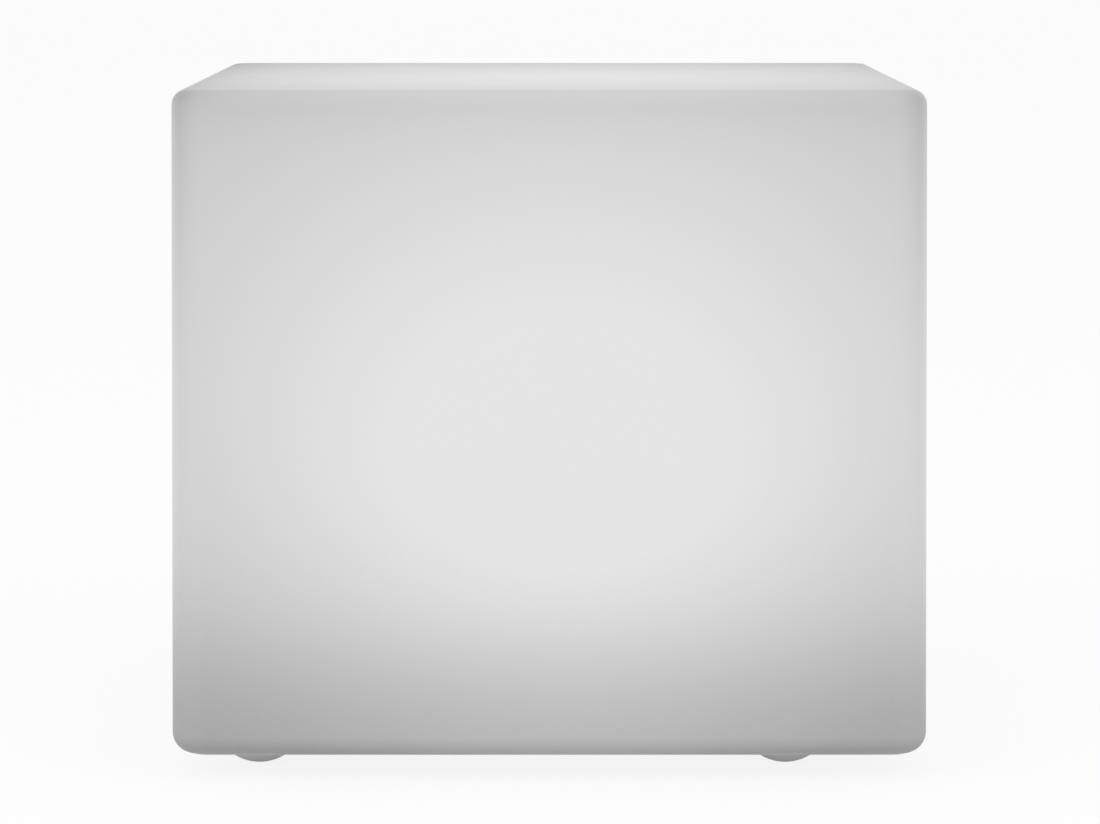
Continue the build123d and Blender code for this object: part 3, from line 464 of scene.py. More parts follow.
def lit(material, colour, strength):
    """Gives a finish its own light, a tenth weaker in the darker patches of its noise."""
    tree = material.node_tree
    shader = tree.nodes["Principled BSDF"]
    patches = tree.nodes.new("ShaderNodeTexNoise")
    patches.inputs["Scale"].default_value = patch_waves
    light = tree.nodes.new("ShaderNodeMix")
    light.data_type = "RGBA"
    light.inputs[6].default_value = (*(patch_share * value for value in colour), 1)
    light.inputs[7].default_value = (*colour, 1)
    place = tree.nodes.new("ShaderNodeTexCoord")
    link(
        material,
        (place.outputs["Object"], patches.inputs["Vector"]),
        (patches.outputs["Fac"], light.inputs[0]),
        (light.outputs[2], shader.inputs["Emission Color"]),
    )
    shader.inputs["Emission Strength"].default_value = strength


# Painted light: a faint glow on the feet lifts them out of the shade under the block
lit(foot_elastomer, (1.0, 1.0, 1.0), 0.10)


def turned(profile, centre, columns):
    """Rings of a surface of revolution: each (radius, height) of the profile goes round centre."""
    angle = np.linspace(0, 2 * pi, columns, endpoint=False)
    circle = np.column_stack([np.cos(angle), np.sin(angle)])
    return np.array([ring(circle * radius + centre, height) for radius, height in profile])


def joined(name, pieces):
    """Several finished meshes as one object."""
    whole = pieces[0]
    with bpy.context.temp_override(active_object=whole, selected_editable_objects=pieces):
        bpy.ops.object.join()
    whole.name = name
    return whole


def stands_for(piece, body, slot, *cad_nodes):
    """The piece shows in place of CAD nodes and rides with a body; slot is not used."""
    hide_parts(*cad_nodes)
    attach(piece, body)


def foot_profile():
    """Down the dome's arc to its grooved sole, up the stepped hole of the screw and out to the rim."""
    depth = (foot_radius**2 - foot_flat**2 - foot_height**2) / (2 * foot_height)
    sphere = (foot_radius**2 + depth**2) ** 0.5
    rim = np.arcsin(foot_radius / sphere)
    sole = np.arcsin(foot_flat / sphere)
    dome = [
        (sphere * sin(turn), foot_height + depth - sphere * cos(turn))
        for turn in np.linspace(rim, sole, dome_rows)
    ]
    groove = [
        (groove_outside, 0.0),
        (groove_outside - groove_slope, sole_break),
        (groove_inside + groove_slope, sole_break),
        (groove_inside, 0.0),
    ]
    hole = [
        (foot_hole + sole_break, 0.0),
        (foot_hole, sole_break),
        (foot_hole, foot_height - foot_web),
        (foot_shank, foot_height - foot_web),
        (foot_shank, foot_height),
    ]
    top = [(foot_radius - 0.0008, foot_height), (foot_radius, foot_height - 0.0003)]
    return dome[1:] + groove + hole + top + dome[1:2]


feet = []
for foot_place in foot_places:
    feet.append(skin("foot", turned(foot_profile(), foot_place, foot_columns), foot_elastomer))
dome_feet = joined("dome_feet", feet)
stands_for(dome_feet, "housing", "foot_elastomer", "feet")

# Screws: zinc plated steel with low round heads, a six-lobed recess and a rolled thread. The feet
# and the module are held by M4 screws, and the foot screws stand deepest of all, in the feet.
zinc_plating = moulded(
    "zinc_plating",
    (0.52, 0.53, 0.55),
    (0.66, 0.67, 0.66),
    patch=0.0015,
    roughness=0.30,
    grain=0.0002,
    relief=0.00001,
    metallic=1.0,
)
lobe_count = 6
lobe_size = 0.46
lobe_swing = 0.13
crown_start = 0.38
recess_floor = 0.42
pitch_share = 0.36
thread_share = 0.42
tip_share = 0.8
# Radius and height of the head, and radius of the shank
large_screw = (0.0036, 0.0026, 0.00195)


def screw_rings(head_radius, head_height, shank_radius, length, columns=48):
    """Rings of a screw that stands head up, its seat at height 0, from the recess to the tip.

    The recess is lobed: a (1 + lobe_swing * cos 6t). The crown is the upper half of a flat ellipsoid,
    z = b + (h - b) sqrt(1 - (r / R)^2), and starts where the recess ends. The thread is a ridge
    wound round the shank: r = core + depth * (1 - |2 u - 1|), with u the fraction of
    height / pitch + turn.
    """
    angle = np.linspace(0, 2 * pi, columns, endpoint=False)
    across = np.column_stack([np.cos(angle), np.sin(angle)])
    lobes = head_radius * lobe_size * (1 + lobe_swing * np.cos(lobe_count * angle))
    edge = head_height * crown_start
    floor_level = head_height * recess_floor

    def layer(radius, height):
        return np.column_stack([across * np.reshape(radius, (-1, 1)), np.zeros(columns) + height])

    rows = [layer(lobes * 0.9, floor_level), layer(lobes * 0.97, floor_level + head_height * 0.03)]
    for share in (0.0, 0.04, 0.3, 0.6, 0.85, 0.96):
        radius = lobes * (1 - share) + head_radius * share
        crown = edge + (head_height - edge) * np.sqrt(1 - (radius / head_radius) ** 2)
        rows.append(layer(radius, crown))
    rows += [layer(head_radius, edge), layer(head_radius, head_height * 0.06)]
    rows += [layer(head_radius * 0.98, 0.0), layer(shank_radius, 0.0)]
    pitch = shank_radius * pitch_share
    depth = pitch * thread_share
    core = shank_radius - depth
    tip = shank_radius * tip_share
    for height in np.arange(pitch / 2, length - tip, pitch / 5):
        part_turn = (height / pitch + angle / (2 * pi)) % 1
        rows.append(layer(core + depth * (1 - np.abs(2 * part_turn - 1)), -height))
    rows += [layer(core, tip - length), layer(core * 0.7, -length)]
    return np.array(rows), ((0, 0, floor_level), (0, 0, -length))


def screws(name, places, size, cad_node, heads_down=True):
    """One screw at each place, as long as the CAD node says, with the heads down or up."""
    head_radius, head_height, shank_radius = size
    low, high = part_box(cad_node)
    length = high.z - low.z - head_height
    seat = low.z + head_height if heads_down else high.z - head_height
    rows, ends = screw_rings(head_radius, head_height, shank_radius, length)
    way = np.array([1, -1, -1] if heads_down else [1, 1, 1])
    pieces = []
    for x, y in places:
        at = np.array([x, y, seat])
        poles = [np.array(end) * way + at for end in ends]
        pieces.append(skin(name, rows * way + at, zinc_plating, poles))
    stands_for(joined(name, pieces), "housing", "zinc_screw", cad_node)


def four_places(node, size, diagonal=False):
    """Places of four screws of one size round the middle, read from the box of their node."""
    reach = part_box(node)[1].x - size[0]
    if diagonal:
        return [(reach, reach), (-reach, reach), (-reach, -reach), (reach, -reach)]
    return [(reach, 0), (0, reach), (-reach, 0), (0, -reach)]


screws("foot_screw_set", foot_places, large_screw, "foot_screws")

# Inserts: hexagonal brass bushes, put in the mould of the block so that the plastic grips them.
# They are sawn from drawn bar, so fine lines run along them.


def drawn(name, dark, light, roughness, stretch):
    """Metal drawn, sawn or brushed along one axis.

    The tone and the roughness follow noise over coordinates scaled by stretch, in waves per
    metre for x, y and z, so that the lines run along the axis with the smallest number.
    """
    material = bpy.data.materials.new(name)
    material.use_nodes = True
    tree = material.node_tree
    shader = tree.nodes["Principled BSDF"]
    shader.inputs["Metallic"].default_value = 1.0
    place = tree.nodes.new("ShaderNodeTexCoord")
    stretched = tree.nodes.new("ShaderNodeMapping")
    stretched.inputs["Scale"].default_value = stretch
    lines = tree.nodes.new("ShaderNodeTexNoise")
    lines.inputs["Scale"].default_value = 1.0
    lines.inputs["Detail"].default_value = 4
    tone = tree.nodes.new("ShaderNodeMix")
    tone.data_type = "RGBA"
    tone.inputs[6].default_value = (*dark, 1)
    tone.inputs[7].default_value = (*light, 1)
    sheen = tree.nodes.new("ShaderNodeMapRange")
    sheen.inputs["To Min"].default_value = roughness * 0.75
    sheen.inputs["To Max"].default_value = roughness * 1.25
    bump = tree.nodes.new("ShaderNodeBump")
    bump.inputs["Distance"].default_value = 0.00001
    link(
        material,
        (place.outputs["Object"], stretched.inputs["Vector"]),
        (stretched.outputs["Vector"], lines.inputs["Vector"]),
        (lines.outputs["Fac"], tone.inputs[0]),
        (lines.outputs["Fac"], sheen.inputs["Value"]),
        (lines.outputs["Fac"], bump.inputs["Height"]),
        (tone.outputs[2], shader.inputs["Base Color"]),
        (sheen.outputs["Result"], shader.inputs["Roughness"]),
        (bump.outputs["Normal"], shader.inputs["Normal"]),
    )
    return material


def dress(material, *names):
    """Puts a finish on CAD nodes whose own shape shows."""
    for name in names:
        for place in nodes[name].material_slots:
            place.material = material


bar_brass = drawn(
    "bar_brass", (0.62, 0.43, 0.18), (0.83, 0.64, 0.33), roughness=0.34, stretch=(6000, 6000, 250)
)
dress(bar_brass, "foot_inserts", "module_inserts")

# Gasket and seals: soft grey silicone, die-cut flat for the gasket of the module and of the dome,
# and moulded as a square-sided ring for the seal of the cover.
seal_silicone = moulded(
    "seal_silicone",
    (0.34, 0.35, 0.36),
    (0.40, 0.41, 0.42),
    patch=0.006,
    roughness=0.72,
    grain=0.0003,
    relief=0.00002,
)
dress(seal_silicone, "module_gasket", "dome_seal", "cover_seal")

# Module housing: a cup on a ribbed flange, injection moulded in white plastic with a fine spark
# texture. The block's recess holds it up against the gasket with four screws and washers.
housing_plastic = moulded(
    "spark_textured_white",
    (0.60, 0.60, 0.59),
    (0.65, 0.65, 0.64),
    patch=0.030,
    roughness=0.50,
    grain=0.0005,
    relief=0.00004,
)
dress(housing_plastic, "module_housing")
module_screw_places = four_places("module_screws", large_screw, diagonal=True)
screws("module_screw_set", module_screw_places, large_screw, "module_screws")

washer_low, washer_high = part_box("screw_washers")
washer_rim = 0.0043
washer_bore = 0.0021
washer_break = 0.00015
washer_profile = [
    (washer_bore, washer_high.z),
    (washer_rim - washer_break, washer_high.z),
    (washer_rim, washer_high.z - washer_break),
    (washer_rim, washer_low.z + washer_break * 2),
    (washer_rim - washer_break * 2, washer_low.z),
    (washer_bore + washer_break, washer_low.z),
    (washer_bore, washer_low.z + washer_break),
    (washer_bore, washer_high.z),
]
washers = []
for place in module_screw_places:
    washers.append(skin("washer", turned(washer_profile, place, 48), zinc_plating))
stands_for(joined("washer_set", washers), "housing", "zinc_screw", "screw_washers")

# Bottom cover: a moulded plate that closes the cup from below, with the seats of the button, the
# charging socket and the light pipe. Its four screws sit in counterbores.
cover_plastic = moulded(
    "cover_white",
    (0.56, 0.56, 0.55),
    (0.61, 0.61, 0.60),
    patch=0.025,
    roughness=0.46,
    grain=0.0004,
    relief=0.00003,
)
dress(cover_plastic, "bottom_cover")
medium_screw = (0.0027, 0.0020, 0.00145)
screws("cover_screw_set", four_places("cover_screws", medium_screw), medium_screw, "cover_screws")

# LED board: a round aluminium board under white solder mask, with two rings of LEDs that shine up
# and an infrared receiver in the middle.

track_width = 0.05
track_length = 2.6
track_row = 0.5
track_relief = 0.00004


def masked_board(name, mask, over_track, track_pitch):
    """Solder mask over copper tracks: the joints of a brick pattern are raised and in the colour
    over_track; the mask between them varies by a tenth."""
    material = moulded(name, mask, mask, 0.004, 0.35, 0.0006, 0.00001, coat=0.3)
    tree = material.node_tree
    shader = tree.nodes["Principled BSDF"]
    place = tree.nodes.new("ShaderNodeTexCoord")
    tracks = tree.nodes.new("ShaderNodeTexBrick")
    tracks.inputs["Scale"].default_value = 1 / track_pitch
    tracks.inputs["Color1"].default_value = (*mask, 1)
    tracks.inputs["Color2"].default_value = (*(0.9 * value for value in mask), 1)
    tracks.inputs["Mortar"].default_value = (*over_track, 1)
    tracks.inputs["Mortar Size"].default_value = track_width
    tracks.inputs["Brick Width"].default_value = track_length
    tracks.inputs["Row Height"].default_value = track_row
    raised = tree.nodes.new("ShaderNodeBump")
    raised.inputs["Distance"].default_value = track_relief
    link(
        material,
        (place.outputs["Object"], tracks.inputs["Vector"]),
        (tracks.outputs["Color"], shader.inputs["Base Color"]),
        (tracks.outputs["Fac"], raised.inputs["Height"]),
        (raised.outputs["Normal"], shader.inputs["Normal"]),
    )
    return material


white_mask = masked_board("white_solder_mask", (0.80, 0.81, 0.80), (0.68, 0.69, 0.68), 0.004)
dress(white_mask, "led_board")
phosphor = moulded(
    "yellow_phosphor", (0.80, 0.62, 0.12), (0.86, 0.80, 0.52),
    patch=0.0012, roughness=0.30, grain=0.0002, relief=0.00001, coat=0.5,
)
lit(phosphor, (1.0, 0.97, 0.90), 0.2)
dress(phosphor, "rgb_leds", "white_leds", "indicator_led")
receiver_epoxy = moulded(
    "infrared_epoxy", (0.015, 0.008, 0.012), (0.04, 0.02, 0.03),
    patch=0.002, roughness=0.12, grain=0.0006, relief=0.00001, coat=0.6,
)
dress(receiver_epoxy, "ir_receiver")
led_board_places = four_places("led_board_screws", medium_screw, diagonal=True)
screws("led_board_screw_set", led_board_places, medium_screw, "led_board_screws", heads_down=False)

# Diffuser dome: opal acrylic, vacuum formed with a flat flange, held on its seal by four screws.
# It spreads the light of the separate LEDs evenly into the block.
opal_acrylic = moulded(
    "opal_acrylic", (0.60, 0.60, 0.58), (0.66, 0.66, 0.64),
    patch=0.020, roughness=0.32, grain=0.0012, relief=0.00003,
)
lit(opal_acrylic, (1.0, 0.99, 0.96), 0.2)
dress(opal_acrylic, "diffuser_dome")
dome_places = four_places("dome_screws", medium_screw)
screws("dome_screw_set", dome_places, medium_screw, "dome_screws", heads_down=False)

# Battery pack: two nickel plated steel cells in blue shrink film, pressed up against a foam pad by
# a strap bent from zinc plated steel and held by two screws.
cell_nickel = drawn(
    "cell_nickel", (0.55, 0.55, 0.53), (0.72, 0.71, 0.69), roughness=0.25, stretch=(200, 4000, 4000)
)
shrink_film = moulded(
    "blue_shrink_film", (0.03, 0.09, 0.30), (0.05, 0.14, 0.40),
    patch=0.012, roughness=0.22, grain=0.0030, relief=0.00010, coat=0.7,
)
pad_foam = moulded(
    "closed_cell_foam", (0.03, 0.03, 0.035), (0.08, 0.08, 0.085),
    patch=0.0008, roughness=0.95, grain=0.0004, relief=0.00012,
)
strap_steel = drawn(
    "strap_steel", (0.50, 0.51, 0.52), (0.66, 0.67, 0.68), roughness=0.33, stretch=(5000, 200, 5000)
)
dress(cell_nickel, "battery_cells")
dress(shrink_film, "battery_sleeve")
dress(pad_foam, "battery_pad")
dress(strap_steel, "battery_bracket")
bracket_low, bracket_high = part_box("bracket_screws")
bracket_x = (bracket_low.x + bracket_high.x) / 2
bracket_y = bracket_high.y - medium_screw[0]
bracket_places = [(bracket_x, -bracket_y), (bracket_x, bracket_y)]
screws("bracket_screw_set", bracket_places, medium_screw, "bracket_screws")

# Control board: glass epoxy under green solder mask, on four standoffs of the cover, with its
# chips, capacitors, inductor and the two plugs of the leads.
green_mask = masked_board("green_solder_mask", (0.010, 0.110, 0.035), (0.025, 0.180, 0.060), 0.0024)
chip_epoxy = moulded(
    "chip_epoxy", (0.018, 0.018, 0.020), (0.035, 0.035, 0.038),
    patch=0.001, roughness=0.62, grain=0.0001, relief=0.00001,
)
can_aluminium = drawn(
    "can_aluminium", (0.60, 0.60, 0.62), (0.80, 0.80, 0.82), roughness=0.22, stretch=(4000, 4000, 200)
)
ferrite = moulded(
    "sintered_ferrite", (0.045, 0.045, 0.048), (0.085, 0.082, 0.080),
    patch=0.0010, roughness=0.70, grain=0.0002, relief=0.00004,
)
plug_nylon = moulded(
    "natural_nylon", (0.70, 0.67, 0.56), (0.77, 0.74, 0.64),
    patch=0.0030, roughness=0.42, grain=0.0003, relief=0.00001,
)
dress(green_mask, "control_board")
dress(chip_epoxy, "control_chip", "charge_chip", "led_drivers")
dress(can_aluminium, "board_capacitors")
dress(ferrite, "boost_inductor")
dress(plug_nylon, "battery_connector", "led_connector")
small_screw = (0.0022, 0.0016, 0.0012)
board_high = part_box("control_board_screws")[1]
board_x = board_high.x - small_screw[0]
board_y = board_high.y - small_screw[0]
board_places = [(-board_x, -board_y), (board_x, -board_y), (-board_x, board_y), (board_x, board_y)]
screws("board_screw_set", board_places, small_screw, "control_board_screws", heads_down=False)

# Charge light: a clear acrylic pipe whose head sits flush in the cover. It leads the light of the
# small LED under the board to the outside.
pipe_acrylic = moulded(
    "clear_acrylic", (0.88, 0.91, 0.92), (0.93, 0.95, 0.96),
    patch=0.004, roughness=0.09, grain=0.0010, relief=0.00001,
)
pipe_shader = pipe_acrylic.node_tree.nodes["Principled BSDF"]
pipe_shader.inputs["Transmission Weight"].default_value = 0.85
pipe_shader.inputs["IOR"].default_value = 1.49
dress(pipe_acrylic, "light_pipe")

# Power button: a grey key with a dished face and a rounded rim. Its collar holds it behind the
# cover, a membrane seals it, and a plunger passes the push on to the switch on the board.
key_plastic = moulded(
    "satin_grey_key", (0.105, 0.110, 0.116), (0.130, 0.135, 0.142),
    patch=0.006, roughness=0.42, grain=0.0003, relief=0.00002,
)
black_plastic = moulded(
    "black_moulding", (0.012, 0.012, 0.013), (0.022, 0.022, 0.024),
    patch=0.003, roughness=0.45, grain=0.0003, relief=0.00002,
)
dress(key_plastic, "membrane_ring", "switch_plunger")
dress(black_plastic, "tact_switch", "switch_stem")
key_low, key_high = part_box("button_cap")
key_centre = ((key_low.x + key_high.x) / 2, (key_low.y + key_high.y) / 2)
key_radius = 0.0066
key_collar = (key_high.x - key_low.x) / 2
key_collar_height = 0.0012
key_dish = 0.00035
key_rim = 0.0005
key_break = 0.0002


def key_profile():
    """From the top over the collar, down the side, round the rim and into the dished face.

    The dish is part of a sphere as deep as key_dish, so its height falls with the square of the
    distance from the middle.
    """
    collar_low = key_high.z - key_collar_height
    side = [
        (key_collar - key_break, key_high.z),
        (key_collar, key_high.z - key_break),
        (key_collar, collar_low),
        (key_radius, collar_low),
        (key_radius, key_low.z + key_rim),
    ]
    rim = [
        (key_radius - key_rim * (1 - cos(turn)), key_low.z + key_rim * (1 - sin(turn)))
        for turn in np.linspace(0, pi / 2, 7)[1:]
    ]
    inner = key_radius - key_rim * 2
    dish = [
        (inner * share, key_low.z + key_dish * (1 - share**2))
        for share in (1.0, 0.92, 0.75, 0.5, 0.25)
    ]
    return side + rim + dish


key_poles = ((*key_centre, key_high.z), (*key_centre, key_low.z + key_dish))
power_key = skin("power_key", turned(key_profile(), key_centre, 72), key_plastic, key_poles)
stands_for(power_key, "power_button", "button_plastic", "button_cap")

# Button membrane: a silicone disc clamped at its thick rim, with a thin web round the pad that
# the key's collar pushes. It gives way upwards when pressed and flattens against its ring under
# the key; here it is drawn in one shape.
membrane_low, membrane_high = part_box("button_membrane")
membrane_radius = (membrane_high.x - membrane_low.x) / 2
membrane_clamp = 0.0087
membrane_web = 0.00045
membrane_break = 0.0001
pad_radius = 0.0070
membrane_profile = [
    (membrane_radius - membrane_break, membrane_high.z),
    (membrane_radius, membrane_high.z - membrane_break),
    (membrane_radius, membrane_low.z + membrane_break),
    (membrane_radius - membrane_break, membrane_low.z),
    (membrane_clamp, membrane_low.z),
    (membrane_clamp - membrane_break * 2, membrane_high.z - membrane_web),
    (pad_radius + membrane_break * 2, membrane_high.z - membrane_web),
    (pad_radius, membrane_low.z + membrane_break),
    (pad_radius - membrane_break, membrane_low.z),
    (pad_radius * 0.5, membrane_low.z),
]
membrane_poles = ((*key_centre, membrane_high.z), (*key_centre, membrane_low.z))
membrane = skin("key_membrane", turned(membrane_profile, key_centre, 72), seal_silicone, membrane_poles)
stands_for(membrane, "housing", "silicone_seal", "button_membrane")
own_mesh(membrane)

# Charging socket: a black barrel through the cover with a nickel plated centre pin, clamped from
# inside by a hexagonal nut.
socket_nickel = drawn(
    "socket_nickel", (0.58, 0.57, 0.54), (0.76, 0.75, 0.71), roughness=0.20, stretch=(5000, 5000, 300)
)
dress(black_plastic, "dc_socket")
dress(socket_nickel, "dc_socket_nut", "socket_pin")

# Socket cap: grey rubber, one moulding of a plug with a round lid, a strap that bends at a thin
# web when the lid swings open, here drawn straight, and a button-headed stud that is pulled
# through the cover.
cap_rubber = moulded(
    "grey_cap_rubber", (0.075, 0.078, 0.082), (0.100, 0.104, 0.108),
    patch=0.005, roughness=0.68, grain=0.0004, relief=0.00003,
)
cap_low, cap_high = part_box("socket_cap")
strap_low, strap_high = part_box("cap_strap")
pin_low, pin_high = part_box("socket_pin")
cap_centre = ((pin_low.x + pin_high.x) / 2, 0.0)
lid_radius = 0.0070
lid_thickness = 0.0015
plug_radius = 0.0040
hinge_place = 0.0394
lid_edge = 0.0006
lid_dish = 0.0002
plug_bead = 0.0003
strap_half_width = 0.0025
strap_half_thickness = 0.00055
strap_middle = strap_low.z + strap_half_thickness
web_thinning = 0.00028
web_spread = 0.0008


def lid_profile():
    """From the plug's face out over its bead, down to the lid, round the lid's soft edge and under it."""
    lid_top = cap_low.z + lid_thickness
    plug = [
        (plug_radius - 0.0008, cap_high.z),
        (plug_radius - 0.0002, cap_high.z - plug_bead),
        (plug_radius, cap_high.z - 0.0009),
        (plug_radius - plug_bead, cap_high.z - 0.0014),
        (plug_radius - plug_bead, lid_top + 0.0001),
    ]
    edge = [
        (lid_radius - lid_edge * (1 - cos(turn)), cap_low.z + lid_thickness / 2 * (1 - sin(turn)))
        for turn in np.linspace(-pi / 2, pi / 2, 13)
    ]
    under = [(lid_radius * share, cap_low.z + lid_dish * (0.9 - share)) for share in (0.6, 0.3)]
    return plug + edge + under


lid_poles = ((*cap_centre, cap_high.z), (*cap_centre, cap_low.z + lid_dish))
socket_lid = skin("socket_lid", turned(lid_profile(), cap_centre, 72), cap_rubber, lid_poles)
stands_for(socket_lid, "charge_cap", "cap_rubber", "socket_cap")


def strap_rings(start, end, columns=40):
    """Rings across the strap, from its root in the lid to its round end.

    Each ring is a superellipse of power 4, as wide as the strap and as thick as it is there: the
    thickness dips by web_thinning * exp(-(distance from the hinge / web_spread)^2), and both fall to
    nothing over the last 2.5 mm like a quarter circle.
    """
    angle = np.linspace(0, 2 * pi, columns, endpoint=False)
    round_y = np.sign(np.cos(angle)) * np.abs(np.cos(angle)) ** 0.5
    round_z = np.sign(np.sin(angle)) * np.abs(np.sin(angle)) ** 0.5
    run = np.linspace(0, 1, 44)
    along = start + (end - start) * (1 - (1 - run) ** 1.4)
    past = np.clip(along - end + strap_half_width, 0, None) / strap_half_width
    ending = np.sqrt(np.clip(1 - past**2, 0, 1))
    web = web_thinning * np.exp(-(((along - hinge_place) / web_spread) ** 2))
    width = strap_half_width * ending
    thick = (strap_half_thickness - web) * np.minimum(ending * 1.6, 1)
    rows = []
    for place, wide, high in zip(along[:-1], width, thick):
        level = strap_middle + round_z * high
        rows.append(np.column_stack([np.full(columns, place), -round_y * wide, level]))
    return np.array(rows)


strap_root = lid_radius + cap_centre[0] - 0.0020
strap_poles = ((strap_root, 0, strap_middle), (strap_high.x, 0, strap_middle))
strap = skin("cap_strap_band", strap_rings(strap_root, strap_high.x), cap_rubber, strap_poles)
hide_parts("cap_strap")
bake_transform(strap)

stud_radius = 0.0019
stud_head = 0.0026
stud_place = (strap_high.x - stud_head, 0.0)
cover_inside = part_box("cover_seal")[0].z - 0.0011
stud_profile = [
    (stud_head * 0.55, strap_high.z),
    (stud_head * 0.9, strap_high.z - 0.0003),
    (stud_head, cover_inside + 0.0003),
    (stud_head - 0.0002, cover_inside),
    (stud_radius, cover_inside),
    (stud_radius, strap_middle + strap_half_thickness * 0.9),
    (stud_radius * 0.8, strap_middle),
]
stud_poles = ((*stud_place, strap_high.z), (*stud_place, strap_middle))
stud = skin("cap_stud", turned(stud_profile, stud_place, 48), cap_rubber, stud_poles)
stands_for(stud, "housing", "cap_rubber", "cap_strap")

# Leads: thin stranded wires in silicone insulation, from the cells, the LED board and the socket
# to the control board. They are soldered or plugged at both ends and never seen.


def insulation(name, colour):
    """Silicone insulation of one colour, a little lighter in places."""
    lighter = tuple(value * 1.2 for value in colour)
    return moulded(name, colour, lighter, 0.004, 0.50, 0.0004, 0.00001)


def smooth_route(corners, steps=12):
    """A quadratic B-spline that starts and ends in the first and last corner.

    Between the middles of two neighbouring runs it is (1-t)^2 a + 2t(1-t) b + t^2 c, where b is
    the corner and a and c are those middles; the first and the last half run are straight.
    """
    corners = np.asarray(corners, float)
    middles = (corners[1:] + corners[:-1]) / 2
    share = np.linspace(0, 1, steps)[:, None]
    runs = [corners[:1], middles[:1]]
    for before, corner, after in zip(middles, corners[1:-1], middles[1:]):
        runs.append(((1 - share) ** 2 * before + 2 * share * (1 - share) * corner + share**2 * after)[1:])
    return np.concatenate(runs + [corners[-1:]])


def wire(name, corners, radius, material, columns=12):
    """A round tube along the smooth route, each ring square to the route, closed at both ends.

    The ring is radius * (cos t * u - sin t * v). With h the heading and n the normal of the
    route's plane, u is along n x h and v along h x u, so the rings don't twist.
    """
    route = smooth_route(corners)
    heading = np.gradient(route, axis=0)
    heading /= np.linalg.norm(heading, axis=1)[:, None]
    plane = np.cross(route[-1] - route[0], route[len(route) // 3] - route[0])
    plane /= np.linalg.norm(plane)
    first = np.cross(plane, heading)
    first /= np.linalg.norm(first, axis=1)[:, None]
    second = np.cross(heading, first)
    angle = np.linspace(0, 2 * pi, columns, endpoint=False)[None, :, None]
    rows = route[:, None] + radius * (np.cos(angle) * first[:, None] - np.sin(angle) * second[:, None])
    return skin(name, rows, material, (route[0], route[-1]))


plug_low, plug_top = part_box("battery_connector")
plug_middle = np.array([(plug_low.x + plug_top.x) / 2, (plug_low.y + plug_top.y) / 2])
cell_low, cell_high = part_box("battery_cells")
cell_middle = (cell_low.z + cell_high.z) / 2
lead_drop = (cell_middle - plug_top.z) / 2
red_lead = insulation("red_insulation", (0.42, 0.02, 0.02))
black_lead = insulation("black_insulation", (0.015, 0.015, 0.017))
cell_lead_radius = 0.0007
cell_lead_spread = 0.004
plug_lead_spread = 0.002
battery_wires = []
for way, colour in ((-1, black_lead), (1, red_lead)):
    x, y = plug_middle
    exit_height = cell_middle + way * cell_lead_radius
    route = [
        (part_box("battery_sleeve")[0].x, y + way * cell_lead_spread, exit_height),
        (x - cell_lead_radius, y + way * cell_lead_spread, exit_height),
        (x, y + way * plug_lead_spread, plug_top.z + lead_drop),
        (x, y + way * plug_lead_spread, plug_top.z),
    ]
    battery_wires.append(wire("battery_wire", route, cell_lead_radius, colour))
battery_wiring = joined("battery_wiring", battery_wires)
stands_for(battery_wiring, "housing", "lead_insulation", "battery_leads")

led_plug_y = -plug_middle[1]
led_lead_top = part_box("led_leads")[1].z
led_lead_shift = 0.002
led_lead_rise = 0.013
lead_radius = 0.0006
led_wires = []
led_colours = (
    red_lead,
    insulation("green_insulation", (0.02, 0.20, 0.04)),
    insulation("blue_insulation", (0.02, 0.06, 0.35)),
    insulation("white_insulation", (0.60, 0.60, 0.58)),
)
for step, colour in zip((-0.003, -0.001, 0.001, 0.003), led_colours):
    x = plug_middle[0]
    route = [
        (x, led_plug_y + step, plug_top.z),
        (x, led_plug_y + step, plug_top.z + lead_drop),
        (x - led_lead_shift, led_plug_y + led_lead_shift + step, led_lead_top - led_lead_rise),
        (x - led_lead_shift, led_plug_y + led_lead_shift + step, led_lead_top),
    ]
    led_wires.append(wire("led_wire", route, lead_radius, colour))
led_wiring = joined("led_wiring", led_wires)
stands_for(led_wiring, "housing", "lead_insulation", "led_leads")

lead_low, lead_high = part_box("socket_leads")
terminal_half_spread = 0.0025
socket_wires = []
for way, colour in ((-1, black_lead), (1, red_lead)):
    y = way * terminal_half_spread
    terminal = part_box("dc_socket")[1].z
    route = [
        (cap_centre[0], y, terminal),
        (cap_centre[0], y, lead_high.z - lead_radius),
        (lead_low.x + lead_radius, y, lead_high.z - lead_radius),
        (lead_low.x + lead_radius, y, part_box("control_board")[1].z),
    ]
    socket_wires.append(wire("socket_wire", route, lead_radius, colour))
socket_wiring = joined("socket_wiring", socket_wires)
stands_for(socket_wiring, "housing", "lead_insulation", "socket_leads")

# Floor, light and camera: a pale studio floor under even light, seen as in the photograph. The
# camera sees the floor whitened. The sky has one white that is seen, also mirrored or through
# clear plastic, and a dimmer one that lights the object.
floor_radius = 40.0
floor_points = 64
floor_whiteness = 0.85
floor_mesh = bpy.data.meshes.new("floor")
floor_turn = np.linspace(0, 2 * pi, floor_points, endpoint=False)
floor_rim = np.column_stack([np.cos(floor_turn), np.sin(floor_turn), np.zeros(floor_points)]) * floor_radius
floor_mesh.from_pydata(floor_rim.tolist(), [], [list(range(floor_points))])
floor = bpy.data.objects.new("floor", floor_mesh)
bpy.context.scene.collection.objects.link(floor)
floor_paint = moulded(
    "floor_paint", (0.95,) * 3, (0.97,) * 3, patch=1.5, roughness=0.95, grain=0.02, relief=0.0
)
floor_nodes = floor_paint.node_tree.nodes
floor_nodes["Principled BSDF"].inputs["Specular IOR Level"].default_value = 0.1
floor_path = floor_nodes.new("ShaderNodeLightPath")
floor_white = floor_nodes.new("ShaderNodeEmission")
floor_mix = floor_nodes.new("ShaderNodeMixShader")
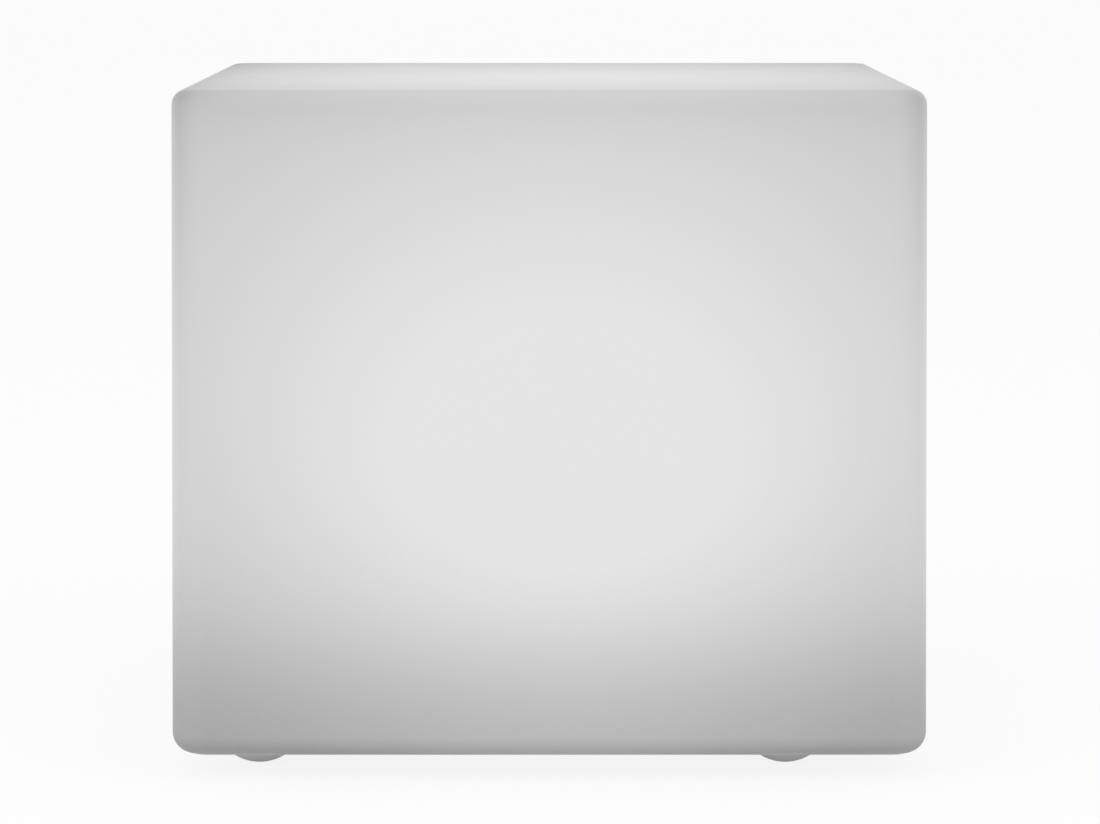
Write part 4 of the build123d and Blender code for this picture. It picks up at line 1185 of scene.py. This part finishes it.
floor_share = sums(floor_paint, "MULTIPLY", floor_path.outputs["Is Camera Ray"], floor_whiteness)
link(
    floor_paint,
    (floor_share, floor_mix.inputs[0]),
    (floor_nodes["Principled BSDF"].outputs[0], floor_mix.inputs[1]),
    (floor_white.outputs[0], floor_mix.inputs[2]),
    (floor_mix.outputs[0], floor_nodes["Material Output"].inputs["Surface"]),
)
floor_mesh.materials.append(floor_paint)

sky = bpy.data.worlds.new("sky")
bpy.context.scene.world = sky
sky.use_nodes = True
sky_nodes = sky.node_tree.nodes
room = sky_nodes["Background"]
room.inputs["Color"].default_value = (1, 1, 1, 1)
room.inputs["Strength"].default_value = 0.80
seen = sky_nodes.new("ShaderNodeBackground")
seen.inputs["Color"].default_value = (1, 1, 1, 1)
seen.inputs["Strength"].default_value = 1.0
path = sky_nodes.new("ShaderNodeLightPath")
mirrored = sums(sky, "MAXIMUM", path.outputs["Is Camera Ray"], path.outputs["Is Glossy Ray"])
through = sums(sky, "MAXIMUM", mirrored, path.outputs["Is Transmission Ray"])
backdrop = sky_nodes.new("ShaderNodeMixShader")
link(
    sky,
    (through, backdrop.inputs[0]),
    (room.outputs[0], backdrop.inputs[1]),
    (seen.outputs[0], backdrop.inputs[2]),
    (backdrop.outputs[0], sky_nodes["World Output"].inputs["Surface"]),
)

softbox_across, softbox_back, softbox_up = 2.4, -2.6, 3.0
softbox_tilt, softbox_turn = radians(49), radians(43)
for side, watts in ((-1, 30.0), (1, 24.0)):
    softbox = bpy.data.lights.new("softbox", "AREA")
    softbox.shape = "SQUARE"
    softbox.size = 3.0
    softbox.energy = watts
    stand = bpy.data.objects.new("softbox", softbox)
    bpy.context.scene.collection.objects.link(stand)
    stand.location = (side * softbox_across, softbox_back, softbox_up)
    stand.rotation_euler = (softbox_tilt, 0, side * softbox_turn)

look_down = 6.95
camera = bpy.data.cameras.new("camera")
camera.sensor_fit = "HORIZONTAL"
camera.sensor_width = 36.0
camera.lens = 134.50
camera.clip_end = 100.0
viewer = bpy.data.objects.new("camera", camera)
bpy.context.scene.collection.objects.link(viewer)
viewer.location = (0.0004, -2.5581, 0.5012)
viewer.rotation_euler = (radians(90 - look_down), 0, 0)
bpy.context.scene.camera = viewer
bpy.context.scene.view_settings.view_transform = "Standard"
